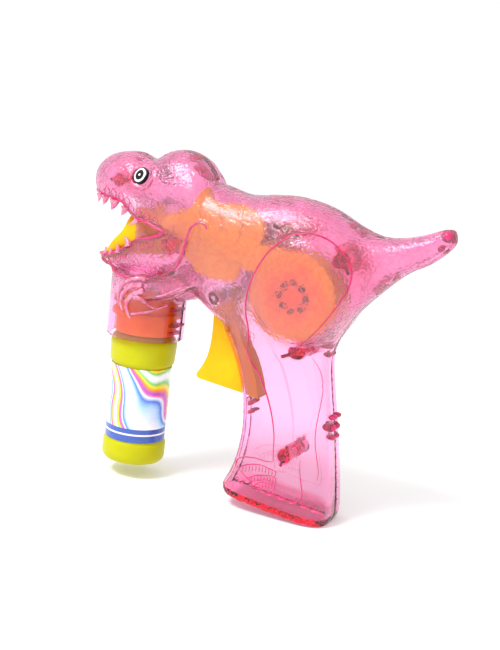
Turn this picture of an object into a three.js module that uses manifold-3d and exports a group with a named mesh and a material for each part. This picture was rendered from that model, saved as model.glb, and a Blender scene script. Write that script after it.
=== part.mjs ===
// Hand-held bubble blower in the shape of a roaring dinosaur.
// Two clear moulded halves hold a trigger-driven gear train, a fan, a squeeze pump and a bubble
// nozzle in the jaws; a bottle of bubble liquid screws up into a collar under the chin.
// Millimetres, +Z up.  The head points along -X, the tail along +X, the left half lies on -Y.

import * as THREE from 'three';
import { mergeVertices } from 'three/addons/utils/BufferGeometryUtils.js';
import Module from 'manifold-3d';

const wasm = await Module();
wasm.setup();

// ---------------------------------------------------------------- driving dimensions

const WALL = 2;            // moulded shell wall
const GAP = 0.3;           // clearance between touching pieces
const SEAM = 0.15;         // half the line between the two shell halves
const REACH = 60;          // half depth of a cutter that passes through the whole toy
const LONG = 240;          // beyond the toy's length and height

const BOTTLE_X = -66;      // bottle and collar axis
const COLLAR_R = 22.15;
const COLLAR_BOTTOM = 82;
const COLLAR_TOP = 119;
const THROAT_HOLE_R = 14;  // opening from the collar up into the jaw
const SOCKET_R = 17.3;
const SOCKET_BOTTOM = 84.5;
const SOCKET_TOP = 108;
const BOTTLE_BOTTOM = 8.4;
const NECK_R = 13.4;
const NECK_TOP = 102;
const TUBE_R = 1.6;        // silicone feed tube

const TRIGGER_PIVOT = [-17, 115.5];
const TRIGGER_HALF = 6;    // half thickness of the trigger blade
const PIN_R = 1.5;         // trigger pin and gear axles
const BORE_R = PIN_R + GAP;

const FAN_AXIS = [26, 123];
const HOUSING_R = 24;
const HOUSING_Y = [-16, 4.4];
const HOUSING_SPLIT = -5.8;

const MODULE = 1.25;       // gear module
const SECTOR_TEETH = 38;   // of a full circle; the trigger carries an arc of them
const PINION_1_TEETH = 12;
const WHEEL_1_TEETH = 28;
const PINION_2_TEETH = 10;
const WHEEL_2_TEETH = 26;
const FAN_PINION_TEETH = 10;
const PUMP_GEAR_TEETH = 12;
const EXTRA_CENTRE = 0.15; // gears stand this much further apart than their pitch circles
const LAYER_1 = [7.2, 9.7];      // gear planes along Y
const LAYER_2 = [10.2, 12.7];
const LAYER_3 = [13.2, 15.7];
const INNER_PLATE = [5, 6.6];
const OUTER_PLATE = [16.3, 18.1];

const NOZZLE_Z = 141.5;    // bubble barrel axis, along X
const NOZZLE_R = 12.5;
const NOZZLE_X = [-83, -58];

// ---------------------------------------------------------------- geometry helpers

const rad = THREE.MathUtils.degToRad;

function solid(geometry) {
  const bare = geometry.clone();
  bare.deleteAttribute('normal');
  bare.deleteAttribute('uv');
  const merged = mergeVertices(bare, 1e-4);
  return new wasm.Manifold(new wasm.Mesh({
    numProp: 3,
    vertProperties: new Float32Array(merged.attributes.position.array),
    triVerts: new Uint32Array(merged.index.array),
  }));
}

function geometryOf(manifold) {
  const mesh = manifold.getMesh();
  const geometry = new THREE.BufferGeometry();
  geometry.setAttribute('position', new THREE.BufferAttribute(new Float32Array(mesh.vertProperties), 3));
  geometry.setIndex(new THREE.BufferAttribute(new Uint32Array(mesh.triVerts), 1));
  geometry.computeVertexNormals();
  return geometry;
}

function join(...pieces) {
  return pieces.reduce((sum, piece) => sum.add(piece));
}

function box(x, y, z) {
  const geometry = new THREE.BoxGeometry(x[1] - x[0], y[1] - y[0], z[1] - z[0]);
  geometry.translate((x[0] + x[1]) / 2, (y[0] + y[1]) / 2, (z[0] + z[1]) / 2);
  return solid(geometry);
}

// A round rod along Y at (x, z).
function rodY([x, z], radius, [from, to], sides = 20) {
  const geometry = new THREE.CylinderGeometry(radius, radius, to - from, sides);
  geometry.translate(x, (from + to) / 2, z);
  return solid(geometry);
}

// A round rod along X at (y, z), with its own radius at each end.
function rodX([y, z], radiusFrom, radiusTo, [from, to], sides = 22) {
  const geometry = new THREE.CylinderGeometry(radiusFrom, radiusTo, to - from, sides);
  geometry.rotateZ(Math.PI / 2);
  geometry.translate((from + to) / 2, y, z);
  return solid(geometry);
}

// A round rod along Z at (x, y).
function rodZ([x, y], radius, [from, to], sides = 32) {
  const geometry = new THREE.CylinderGeometry(radius, radius, to - from, sides);
  geometry.rotateX(Math.PI / 2);
  geometry.translate(x, y, (from + to) / 2);
  return solid(geometry);
}

// A plate: a shape drawn in X and Z, given its thickness along Y.
function plate(shape, [from, to], curveSegments = 6) {
  const geometry = new THREE.ExtrudeGeometry(shape, {
    depth: to - from, bevelEnabled: false, curveSegments,
  });
  geometry.rotateX(Math.PI / 2);
  geometry.translate(0, to, 0);
  return solid(geometry);
}

function outline(points) {
  return new THREE.Shape(points.map(([x, z]) => new THREE.Vector2(x, z)));
}

// A skinned body through sections.  Each section is a rounded oval between its `top` and `foot`
// points in the XZ plane, `half` wide to each side of `y`; a higher power is a squarer oval.
function loft(sections, sides = 18) {
  const positions = [];
  const indices = [];
  for (const { top, foot, half, y = 0, power = 2.3 } of sections) {
    const centre = [(top[0] + foot[0]) / 2, (top[1] + foot[1]) / 2];
    const arm = [(top[0] - foot[0]) / 2, (top[1] - foot[1]) / 2];
    for (let i = 0; i < sides; i += 1) {
      const angle = (i / sides) * 2 * Math.PI;
      const across = Math.sign(Math.cos(angle)) * Math.abs(Math.cos(angle)) ** (2 / power);
      const along = Math.sign(Math.sin(angle)) * Math.abs(Math.sin(angle)) ** (2 / power);
      positions.push(centre[0] + arm[0] * along, y + half * across, centre[1] + arm[1] * along);
    }
  }
  for (let s = 0; s + 1 < sections.length; s += 1) {
    for (let i = 0; i < sides; i += 1) {
      const a = s * sides + i;
      const b = s * sides + ((i + 1) % sides);
      indices.push(a, b, a + sides, b, b + sides, a + sides);
    }
  }
  for (const [s, flip] of [[0, true], [sections.length - 1, false]]) {
    const { top, foot, y = 0 } = sections[s];
    const hub = positions.length / 3;
    positions.push((top[0] + foot[0]) / 2, y, (top[1] + foot[1]) / 2);
    for (let i = 0; i < sides; i += 1) {
      const a = s * sides + i;
      const b = s * sides + ((i + 1) % sides);
      indices.push(...(flip ? [hub, b, a] : [hub, a, b]));
    }
  }
  const geometry = new THREE.BufferGeometry();
  geometry.setAttribute('position', new THREE.Float32BufferAttribute(positions, 3));
  geometry.setIndex(indices);
  const body = solid(geometry);
  if (body.volume() > 0) return body;
  return solid(turnedInsideOut(geometry));
}

function turnedInsideOut(geometry) {
  const turned = geometry.clone();
  const order = turned.index.array;
  for (let i = 0; i < order.length; i += 3) [order[i], order[i + 1]] = [order[i + 1], order[i]];
  return turned;
}

// The same sections drawn in by a wall all round; the first and last also move inwards.
function drawnIn(sections, wall, ends = wall) {
  const inner = sections.map((section) => {
    const span = [section.top[0] - section.foot[0], section.top[1] - section.foot[1]];
    const length = Math.hypot(...span);
    const step = [span[0] / length * wall, span[1] / length * wall];
    return {
      ...section,
      top: [section.top[0] - step[0], section.top[1] - step[1]],
      foot: [section.foot[0] + step[0], section.foot[1] + step[1]],
      half: section.half - wall,
    };
  });
  const shift = (from, towards) => {
    const run = [
      (towards.top[0] + towards.foot[0] - from.top[0] - from.foot[0]) / 2,
      (towards.top[1] + towards.foot[1] - from.top[1] - from.foot[1]) / 2,
    ];
    const length = Math.hypot(...run);
    const step = [run[0] / length * ends, run[1] / length * ends];
    return {
      ...from,
      top: [from.top[0] + step[0], from.top[1] + step[1]],
      foot: [from.foot[0] + step[0], from.foot[1] + step[1]],
    };
  };
  const last = inner.length - 1;
  inner[0] = shift(inner[0], inner[1]);
  inner[last] = shift(inner[last], inner[last - 1]);
  return inner;
}

// ---------------------------------------------------------------- shell forms

const headSections = [
  { top: [-106, 173], foot: [-106, 165], half: 4.5 },
  { top: [-104, 176.8], foot: [-104, 159], half: 9.5 },
  { top: [-97.5, 182], foot: [-97.5, 155], half: 13.5 },
  { top: [-88.8, 184.9], foot: [-88.8, 152], half: 16.5 },
  { top: [-79, 185.4], foot: [-79, 148], half: 18.2 },
  { top: [-69.5, 183], foot: [-69.5, 140], half: 19.4 },
  { top: [-59, 189], foot: [-59, 128], half: 21.2 },
  { top: [-48, 190.4], foot: [-48, 122], half: 22.6 },
  { top: [-37, 186.5], foot: [-37, 120], half: 23.4 },
  { top: [-29.5, 179], foot: [-29.5, 118], half: 23 },
];

const torsoSections = [
  { top: [-46, 184], foot: [-43, 117.5], half: 22.4, power: 2.6 },
  { top: [-29, 178.2], foot: [-31, 109.5], half: 24.2, power: 2.6 },
  { top: [-12, 172], foot: [-18, 101], half: 25, power: 2.6 },
  { top: [5, 174.1], foot: [0, 92], half: 25.4, power: 2.5 },
  { top: [20, 174.6], foot: [24, 88], half: 25.4, power: 2.4 },
  { top: [37.4, 171.7], foot: [43, 98], half: 24 },
  { top: [53.6, 164.7], foot: [55, 113.5], half: 19.5 },
  { top: [66, 161], foot: [68.5, 129.5], half: 15 },
  { top: [77.6, 162], foot: [82, 143], half: 11 },
  { top: [88, 165.2], foot: [93, 150], half: 8.6 },
  { top: [97.5, 169.4], foot: [101.2, 157.3], half: 6.8 },
  { top: [102.8, 170.4], foot: [105.4, 162.6], half: 4.4 },
  { top: [104.9, 169], foot: [106, 165.2], half: 1.9 },
];

const jawSections = [
  { top: [-97.3, 126.5], foot: [-97.3, 121.3], half: 4 },
  { top: [-93, 130], foot: [-93, 119.2], half: 8.4 },
  { top: [-82, 134], foot: [-82, 116.8], half: 13 },
  { top: [-70, 141], foot: [-70, 115.2], half: 17.4 },
  { top: [-58, 148], foot: [-58, 115.6], half: 20.6 },
  { top: [-46, 152], foot: [-46, 118], half: 22.4 },
  { top: [-37, 150], foot: [-37, 123], half: 22 },
];

const GRIP_BASE_FRONT = [-2.6, 7.1];
const GRIP_BASE_REAR = [58.6, 0];

const gripSections = [
  { top: [50, 108], foot: [-14, 96], half: 21, power: 2.4 },
  { top: [47.4, 91.5], foot: [-5, 78], half: 17.6, power: 2.8 },
  { top: [49.3, 76], foot: [0.8, 62], half: 15.6, power: 3.4 },
  { top: [53.4, 56], foot: [2.9, 45], half: 15, power: 3.8 },
  { top: [56.8, 36], foot: [2, 30], half: 15.8, power: 4 },
  { top: [59.4, 17], foot: [-0.6, 19], half: 18, power: 4 },
  { top: [60.2, 5.6], foot: [-3.6, 11.6], half: 19.8, power: 4 },
  { top: GRIP_BASE_REAR, foot: GRIP_BASE_FRONT, half: 19, power: 4 },
];

// The haunch swells out of both sides of the body as one shallow dome each.
const HAUNCH_CENTRE = [29.5, 128.5];
const HAUNCH_RADII = [28.5, 33];
const HAUNCH_HALF = 30;
const HAUNCH_SIDES = 20;

function haunch(inset) {
  const steps = [[1, 0], [0.985, 20], [0.88, 25.4], [0.62, 28.6], [0, HAUNCH_HALF]];
  const side = steps.map(([scale, y]) => new THREE.Vector2(
    Math.max(scale - inset / HAUNCH_RADII[0], 0),
    Math.max(y - inset, 0),
  )).filter((point, i, all) => i === all.length - 1 || point.x > 0);
  const mirrored = side.slice(1).reverse().map((point) => new THREE.Vector2(point.x, -point.y));
  const geometry = new THREE.LatheGeometry([...mirrored, ...side], HAUNCH_SIDES);
  geometry.scale(HAUNCH_RADII[0], 1, HAUNCH_RADII[1]);
  geometry.translate(HAUNCH_CENTRE[0], 0, HAUNCH_CENTRE[1]);
  const body = solid(geometry);
  return body.volume() > 0 ? body : solid(turnedInsideOut(geometry));
}

// A short throat between the chest and the collar.
const throatSections = [
  { top: [-48, 122], foot: [-48, 104.5], half: 13, power: 3 },
  { top: [-30, 122], foot: [-34, 109], half: 13, power: 3 },
];

function arm(side) {
  const y = side * 20.5;
  return loft([
    { top: [-29, 132], foot: [-25, 121], half: 2.5, y: side * 21.4 },
    { top: [-40, 127], foot: [-37, 113], half: 4, y: side * 20.8 },
    { top: [-52, 120.5], foot: [-50, 108], half: 4.6, y },
    { top: [-64, 117.5], foot: [-63, 104], half: 4.4, y: side * 20.6 },
    { top: [-73, 113], foot: [-70, 103], half: 3.2, y: side * 19.6 },
  ], 10);
}

// A cone standing on (x, z) and pointing to `tip`, for teeth and claws.
function spike(from, tip, radius, sides = 6) {
  const start = new THREE.Vector3(...from);
  const end = new THREE.Vector3(...tip);
  const direction = end.clone().sub(start);
  const geometry = new THREE.ConeGeometry(radius, direction.length(), sides);
  geometry.translate(0, direction.length() / 2, 0);
  const turn = new THREE.Quaternion().setFromUnitVectors(
    new THREE.Vector3(0, 1, 0), direction.clone().normalize(),
  );
  geometry.applyQuaternion(turn);
  geometry.translate(...start.toArray());
  return solid(geometry);
}

// Teeth and claws of one side: [root x, y, z], [tip x, y, z], root radius.
function spikes(side) {
  const rows = [
    [[-101.5, 6, 162.5], [-101, 5.6, 154.5], 1.6],
    [[-96, 10, 161.5], [-96.2, 9.6, 151.5], 2.1],
    [[-87.5, 13.4, 160.5], [-87.5, 12.8, 148.5], 2.4],
    [[-78.5, 15.2, 158], [-79.5, 14.4, 145.8], 2.2],
    [[-65, 17.2, 150], [-66, 16.4, 143.2], 1.9],
    [[-94.3, 6.4, 123.4], [-95, 6, 132], 1.8],
    [[-89.3, 9, 121.8], [-89.6, 8.8, 131.6], 1.9],
    [[-83.6, 11.4, 121.8], [-84, 11.2, 132.6], 2],
    [[-75.5, 14.6, 126.5], [-76.4, 14.2, 137.6], 2.2],
    [[-66, 21.5, 107], [-65, 22.6, 95.5], 1.8],
    [[-70.5, 19.8, 107.5], [-69.5, 20.8, 98.5], 1.7],
  ];
  return rows.map(([from, tip, radius]) => spike(
    [from[0], side * from[1], from[2]], [tip[0], side * tip[1], tip[2]], radius,
  ));
}

// The mouth, cut straight through from side to side.
const mouthOutline = [
  [-125, 162], [-104, 161.3], [-92, 159.5], [-82, 158.2], [-75.5, 155.6], [-71.4, 151.4],
  [-68, 148.8], [-61.2, 147.8], [-54.4, 146.2], [-48, 144.2], [-45.4, 142.6], [-48, 141.4],
  [-54, 141.6], [-60.4, 140], [-69, 136.4], [-72, 133.6], [-76.8, 127.7], [-81.8, 124],
  [-90, 123.4], [-96, 124.8], [-125, 125],
];

// ---------------------------------------------------------------- screws and their posts

const screwPlaces = {
  nose: { at: [-83.7, 169.3] },
  cheek: { at: [-41.9, 138.7] },
  haunch_top: { at: [19.5, 157.4] },
  haunch_rear: { at: [51.2, 147.1] },
  haunch_low: { at: [32.4, 94.4] },
  grip: { at: [32, 35.2] },
};

const POST_R = 3.3;            // left half, screwed into
const SLEEVE_R = 4.6;          // right half, the screw drops in here
const HEAD_SEAT = 8.6;
const HEAD_R = 2.8;
const HEAD_BORE_R = 3.4;
const SHANK_R = 1.2;
const SHANK_BORE_R = 1.5;
const SHANK_DEPTH = 7.5;

function screw({ at }) {
  return join(
    rodY(at, HEAD_R, [HEAD_SEAT + GAP, HEAD_SEAT + 2.2], 10),
    rodY(at, SHANK_R, [-SHANK_DEPTH, HEAD_SEAT + 1], 8),
  );
}

// ---------------------------------------------------------------- eyes

const EYE_CENTRE = [-71.6, 17, 174];
const EYE_NORMAL = [-0.307, 0.859, 0.41];
const EYE_R = 4.9;
const EYE_SOCKET_R = EYE_R + GAP + 0.6;

function eyeDisc(side, radius, from, to, sides = 24) {
  const normal = new THREE.Vector3(EYE_NORMAL[0], side * EYE_NORMAL[1], EYE_NORMAL[2]).normalize();
  const geometry = new THREE.CylinderGeometry(radius * 0.86, radius, to - from, sides);
  geometry.translate(0, (from + to) / 2, 0);
  geometry.applyQuaternion(
    new THREE.Quaternion().setFromUnitVectors(new THREE.Vector3(0, 1, 0), normal),
  );
  geometry.translate(EYE_CENTRE[0], side * EYE_CENTRE[1], EYE_CENTRE[2]);
  return solid(geometry);
}

// ---------------------------------------------------------------- the two shell halves

const PIN_POST_R = 3.2;
const TRIGGER_SLOT = { x: [-33, 14], z: [60.6, 108.5], half: TRIGGER_HALF + 0.7 };

function shellHalves() {
  const outer = join(
    loft(headSections), loft(torsoSections), loft(jawSections), loft(gripSections, 20),
    haunch(0), loft(throatSections, 12), rodZ([BOTTLE_X, 0], COLLAR_R, [COLLAR_BOTTOM, COLLAR_TOP], 28),
    arm(-1), arm(1),
  );
  const inner = join(
    loft(drawnIn(headSections, WALL), 14), loft(drawnIn(torsoSections, WALL), 14),
    loft(drawnIn(jawSections, WALL), 14), loft(drawnIn(gripSections, WALL), 16), haunch(WALL),
    loft(drawnIn(throatSections, WALL, 0), 12),
    rodZ([BOTTLE_X, 0], COLLAR_R - WALL, [COLLAR_BOTTOM - 1, COLLAR_TOP - WALL], 24),
    rodZ([BOTTLE_X, 0], THROAT_HOLE_R, [COLLAR_TOP - 8, COLLAR_TOP + 4], 24),
  );
  const posts = join(...Object.values(screwPlaces).flatMap(({ at }) => [
    rodY(at, POST_R, [-REACH, 0], 10), rodY(at, SLEEVE_R, [0, REACH], 12),
  ])).intersect(outer);
  const bores = join(...Object.values(screwPlaces).flatMap(({ at }) => [
    rodY(at, SHANK_BORE_R, [-SHANK_DEPTH - 1, HEAD_SEAT + 1], 8),
    rodY(at, HEAD_BORE_R, [HEAD_SEAT, REACH], 10),
  ]));
  const mouth = plate(outline(mouthOutline), [-REACH, REACH]);
  const slot = box(TRIGGER_SLOT.x, [-TRIGGER_SLOT.half, TRIGGER_SLOT.half], TRIGGER_SLOT.z);
  const pinBore = rodY(TRIGGER_PIVOT, BORE_R, [-21, 21], 12);
  const pinPosts = rodY(TRIGGER_PIVOT, PIN_POST_R, [-REACH, -TRIGGER_HALF - 1.4], 12)
    .add(rodY(TRIGGER_PIVOT, PIN_POST_R, [LAYER_3[1] + 0.4, REACH], 12)).intersect(outer);
  let shell = outer.subtract(inner).subtract(mouth).subtract(slot);
  shell = join(shell, posts, pinPosts, ...spikes(-1), ...spikes(1)).subtract(bores).subtract(pinBore);
  for (const side of [-1, 1]) shell = shell.subtract(eyeDisc(side, EYE_SOCKET_R, -4, 8));
  const left = shell.intersect(box([-LONG, LONG], [-REACH, -SEAM], [-REACH, LONG]));
  const right = shell.intersect(box([-LONG, LONG], [SEAM, REACH], [-REACH, LONG]));
  return { left, right };
}

// ---------------------------------------------------------------- gears

function place([x, z], distance, degrees) {
  return [x + distance * Math.cos(rad(degrees)), z + distance * Math.sin(rad(degrees))];
}

function bearing(from, to) {
  return THREE.MathUtils.radToDeg(Math.atan2(to[1] - from[1], to[0] - from[0]));
}

// The point at given distances from two others, on the upper side of the line between them.
function apex(a, distanceA, b, distanceB) {
  const span = Math.hypot(b[0] - a[0], b[1] - a[1]);
  const along = (distanceA ** 2 - distanceB ** 2 + span ** 2) / (2 * span);
  const up = Math.sqrt(distanceA ** 2 - along ** 2);
  const u = [(b[0] - a[0]) / span, (b[1] - a[1]) / span];
  return [a[0] + along * u[0] - up * u[1], a[1] + along * u[1] + up * u[0]];
}

function centres(teethA, teethB) {
  return MODULE * (teethA + teethB) / 2 + EXTRA_CENTRE;
}

const AXLE_2 = place(FAN_AXIS, centres(WHEEL_2_TEETH, FAN_PINION_TEETH), 190);
const AXLE_1 = apex(
  TRIGGER_PIVOT, centres(SECTOR_TEETH, PINION_1_TEETH), AXLE_2, centres(WHEEL_1_TEETH, PINION_2_TEETH),
);
const PUMP_AXIS = place(AXLE_1, centres(WHEEL_1_TEETH, PUMP_GEAR_TEETH), 195);

const PRESSURE = rad(20);
const BACKLASH = 0.3;

function involute(angle) {
  return Math.tan(angle) - angle;
}

// Half the angle that a tooth fills at a given radius.
function halfTooth(teeth, radius) {
  const pitch = MODULE * teeth / 2;
  const base = pitch * Math.cos(PRESSURE);
  const at = Math.acos(Math.min(base / radius, 1));
  return Math.PI / (2 * teeth) - BACKLASH / (2 * pitch) + involute(PRESSURE) - involute(at);
}

// Points of a toothed rim between two angles; `toothAt` is where one tooth is centred.
function rim(centre, teeth, toothAt, first = 0, count = teeth) {
  const pitch = MODULE * teeth / 2;
  const radii = [pitch - 1.15 * MODULE, pitch, pitch + 0.8 * MODULE];
  const points = [];
  for (let i = first; i < first + count; i += 1) {
    const middle = rad(toothAt) + (i * 2 * Math.PI) / teeth;
    const rise = radii.map((radius) => [radius, middle - halfTooth(teeth, radius)]);
    const fall = radii.map((radius) => [radius, middle + halfTooth(teeth, radius)]).reverse();
    for (const [radius, angle] of [...rise, ...fall]) {
      points.push([centre[0] + radius * Math.cos(angle), centre[1] + radius * Math.sin(angle)]);
    }
  }
  return points;
}

function gear(centre, teeth, toothAt, layer) {
  return plate(outline(rim(centre, teeth, toothAt)), layer);
}

// Tooth angle of the follower whose gap faces the driver's tooth at `toothAt`.
function meshed(from, to, teethFrom, teethTo, toothAt) {
  const line = bearing(from, to);
  const pitch = 360 / teethFrom;
  const offset = ((((toothAt - line) % pitch) + pitch) % pitch);
  return line + 180 - offset * teethFrom / teethTo + 180 / teethTo;
}

const SECTOR_TOOTH = bearing(TRIGGER_PIVOT, AXLE_1);
const WHEEL_1_TOOTH = bearing(AXLE_1, AXLE_2);
const WHEEL_2_TOOTH = bearing(AXLE_2, FAN_AXIS);

function compoundGear(centre, pinion, wheel, pinionLayer, wheelLayer) {
  const low = Math.min(pinionLayer[0], wheelLayer[0]);
  const high = Math.max(pinionLayer[1], wheelLayer[1]);
  return join(
    gear(centre, pinion.teeth, pinion.toothAt, pinionLayer),
    gear(centre, wheel.teeth, wheel.toothAt, wheelLayer),
    rodY(centre, 3.6, [low, high]),
  ).subtract(rodY(centre, BORE_R, [low - 1, high + 1], 12));
}

function gearOne() {
  const toothAt = meshed(TRIGGER_PIVOT, AXLE_1, SECTOR_TEETH, PINION_1_TEETH, SECTOR_TOOTH);
  return compoundGear(
    AXLE_1, { teeth: PINION_1_TEETH, toothAt }, { teeth: WHEEL_1_TEETH, toothAt: WHEEL_1_TOOTH },
    LAYER_3, LAYER_2,
  );
}

function gearTwo() {
  const toothAt = meshed(AXLE_1, AXLE_2, WHEEL_1_TEETH, PINION_2_TEETH, WHEEL_1_TOOTH);
  return compoundGear(
    AXLE_2, { teeth: PINION_2_TEETH, toothAt }, { teeth: WHEEL_2_TEETH, toothAt: WHEEL_2_TOOTH },
    LAYER_2, LAYER_1,
  );
}

function fanPinion() {
  const toothAt = meshed(AXLE_2, FAN_AXIS, WHEEL_2_TEETH, FAN_PINION_TEETH, WHEEL_2_TOOTH);
  return gear(FAN_AXIS, FAN_PINION_TEETH, toothAt, LAYER_1)
    .subtract(rodY(FAN_AXIS, BORE_R, [0, 30], 12));
}

function pumpGear() {
  const toothAt = meshed(AXLE_1, PUMP_AXIS, WHEEL_1_TEETH, PUMP_GEAR_TEETH, WHEEL_1_TOOTH);
  return gear(PUMP_AXIS, PUMP_GEAR_TEETH, toothAt, LAYER_2)
    .subtract(rodY(PUMP_AXIS, BORE_R, [0, 30], 12));
}

// ---------------------------------------------------------------- trigger

const TRIGGER_HUB_R = 3.4;
const SPRING_Y = [-12.4, -8.2];   // the coil sits round the left pin post

function trigger() {
  const shape = new THREE.Shape();
  shape.moveTo(-22.4, 106);
  shape.quadraticCurveTo(-20.6, 84, -24.6, 75.6);
  shape.quadraticCurveTo(-26.4, 71.4, -28.2, 69);
  shape.quadraticCurveTo(-29.6, 66.4, -27, 65.4);
  shape.lineTo(10, 61.6);
  shape.quadraticCurveTo(7.6, 74, 1.4, 84);
  shape.lineTo(-11.4, 107);
  shape.lineTo(-12.6, 116);
  shape.lineTo(-21, 116);
  const blade = plate(shape, [-TRIGGER_HALF, TRIGGER_HALF], 5);
  const hub = rodY(TRIGGER_PIVOT, TRIGGER_HUB_R, [-TRIGGER_HALF - 1, LAYER_3[1]]);
  const sectorPoints = rim(TRIGGER_PIVOT, SECTOR_TEETH, SECTOR_TOOTH, -2, 3);
  const web = plate(outline([place(TRIGGER_PIVOT, 3, SECTOR_TOOTH - 110), ...sectorPoints,
    place(TRIGGER_PIVOT, 3, SECTOR_TOOTH + 110)]), LAYER_3);
  return join(blade, hub, web).subtract(rodY(TRIGGER_PIVOT, BORE_R, [-20, 30], 12));
}

function triggerSpring() {
  const ring = rodY(TRIGGER_PIVOT, PIN_POST_R + 2.6, SPRING_Y, 20);
  return ring.subtract(rodY(TRIGGER_PIVOT, PIN_POST_R + 0.6, [-20, 0], 16));
}

// ---------------------------------------------------------------- gearbox plates and axles

function gearboxPlate(layer) {
  const shape = outline([
    [PUMP_AXIS[0] - 4, PUMP_AXIS[1] - 3], [PUMP_AXIS[0] - 3, PUMP_AXIS[1] + 4],
    [AXLE_1[0] - 6, AXLE_1[1] + 6], [AXLE_1[0] + 5, AXLE_1[1] + 6], [FAN_AXIS[0] + 5, FAN_AXIS[1] + 4],
    [FAN_AXIS[0] + 4, FAN_AXIS[1] - 6], [AXLE_2[0] + 1, AXLE_2[1] - 6], [AXLE_2[0] - 6, AXLE_2[1] - 1],
    [AXLE_2[0] - 8, AXLE_2[1] + 8], [PUMP_AXIS[0] + 5, PUMP_AXIS[1] - 2],
  ]);
  let body = plate(shape, layer);
  for (const axis of [AXLE_1, AXLE_2, FAN_AXIS, PUMP_AXIS]) {
    body = body.subtract(rodY(axis, BORE_R, [0, 30], 12));
  }
  return body;
}

const AXLE_SPAN = [INNER_PLATE[0], OUTER_PLATE[1]];

// ---------------------------------------------------------------- fan and its housing

const OUTLET_Z = [FAN_AXIS[1] + 9.6, FAN_AXIS[1] + HOUSING_R];
const OUTLET_X = -4;
const THIN = 1.4;

function housingHalf([from, to], closedAt) {
  const body = rodY(FAN_AXIS, HOUSING_R, [from, to], 28)
    .add(box([OUTLET_X, FAN_AXIS[0]], [from, to], OUTLET_Z));
  const low = closedAt === 'from' ? from + THIN : from - 1;
  const high = closedAt === 'to' ? to - THIN : to + 1;
  const hollow = rodY(FAN_AXIS, HOUSING_R - THIN, [low, high], 28)
    .add(box([OUTLET_X - 1, FAN_AXIS[0]], [low, high], [OUTLET_Z[0] + THIN, OUTLET_Z[1] - THIN]));
  return body.subtract(hollow);
}

function fanHousingLeft() {
  let body = housingHalf([HOUSING_Y[0], HOUSING_SPLIT - SEAM], 'from');
  const slots = 8;
  for (let i = 0; i < slots; i += 1) {
    const at = place(FAN_AXIS, 7.5, (i * 360) / slots);
    body = body.subtract(rodY(at, 1.9, [-30, -10], 10));
  }
  return body;
}

function fanHousingRight() {
  return housingHalf([HOUSING_SPLIT + SEAM, HOUSING_Y[1]], 'to').subtract(rodY(FAN_AXIS, 2.4, [0, 20], 14));
}

function impeller() {
  const blades = 10;
  const floor = [1.2, 2.4];
  const depth = [HOUSING_Y[0] + 2.6, floor[1]];
  let body = rodY(FAN_AXIS, 20.5, floor, 24).add(rodY(FAN_AXIS, 4, depth));
  for (let i = 0; i < blades; i += 1) {
    const blade = new THREE.BoxGeometry(11.5, floor[1] - depth[0], 1.1);
    blade.rotateY(rad(28));
    blade.translate(14, (floor[1] + depth[0]) / 2, 0);
    blade.rotateY(rad((i * 360) / blades));
    blade.translate(FAN_AXIS[0], 0, FAN_AXIS[1]);
    body = body.add(solid(blade));
  }
  return body.subtract(rodY(FAN_AXIS, BORE_R, [-30, 30], 12));
}

// ---------------------------------------------------------------- air duct, nozzle and drip tray

const ductSections = [
  { top: [OUTLET_X - GAP, OUTLET_Z[1]], foot: [OUTLET_X - GAP, OUTLET_Z[0]], half: 9.6, y: -5.8, power: 6 },
  { top: [-20, 150], foot: [-20, 137], half: 9.2, y: -5.4, power: 5 },
  { top: [-35, 156.4], foot: [-35, 144.4], half: 8.8, y: -4.6, power: 4 },
  { top: [-47.6, 157], foot: [-47.6, 144.4], half: 9.6, y: -1.6, power: 3 },
  { top: [-57.7, 154], foot: [-57.7, 129], half: 12.5, y: 0, power: 2 },
];

function airDuct() {
  const inner = drawnIn(ductSections, THIN, -1);
  return loft(ductSections, 20).subtract(loft(inner, 20));
}

function nozzleBarrel() {
  const axis = [0, NOZZLE_Z];
  const barrel = rodX(axis, NOZZLE_R, NOZZLE_R, NOZZLE_X)
    .add(rodX(axis, NOZZLE_R + 1, NOZZLE_R + 1, [NOZZLE_X[0], NOZZLE_X[0] + 2]))
    .add(rodZ([-63.5, 0], 2.4, [NOZZLE_Z + 11, NOZZLE_Z + 15.5], 14));
  return barrel
    .subtract(rodX(axis, NOZZLE_R - THIN, NOZZLE_R - THIN, [NOZZLE_X[0] - 1, NOZZLE_X[1] + 1]))
    .subtract(rodZ([-63.5, 0], 1.1, [NOZZLE_Z + 8, NOZZLE_Z + 20], 10));
}

const RING_X = [-66, -63];

function bubbleRing() {
  const axis = [0, NOZZLE_Z];
  const rimR = NOZZLE_R - THIN - GAP;
  const through = [RING_X[0] - 1, RING_X[1] + 1];
  const spokes = [0, 60, 120].map((angle) => {
    const spoke = new THREE.BoxGeometry(1.6, 1.4, 2 * rimR - 1);
    spoke.rotateX(rad(angle));
    spoke.translate((RING_X[0] + RING_X[1]) / 2, 0, NOZZLE_Z);
    return solid(spoke);
  });
  return join(
    rodX(axis, rimR, rimR, RING_X).subtract(rodX(axis, rimR - 1.6, rimR - 1.6, through)),
    rodX(axis, 2.6, 2.6, RING_X, 14), ...spokes,
  ).subtract(rodX(axis, 1.3, 1.3, through, 10));
}

function filmWiper() {
  const blade = box([-69.6, -67.6], [-1.1, 1.1], [NOZZLE_Z - 9.6, NOZZLE_Z + 9.6]);
  const hub = rodX([0, NOZZLE_Z], 2.4, 2.4, [-70, RING_X[0] - GAP], 14);
  const shaft = rodX([0, NOZZLE_Z], 1, 1, [-70, -60], 10);
  return join(blade, hub, shaft);
}

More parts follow.
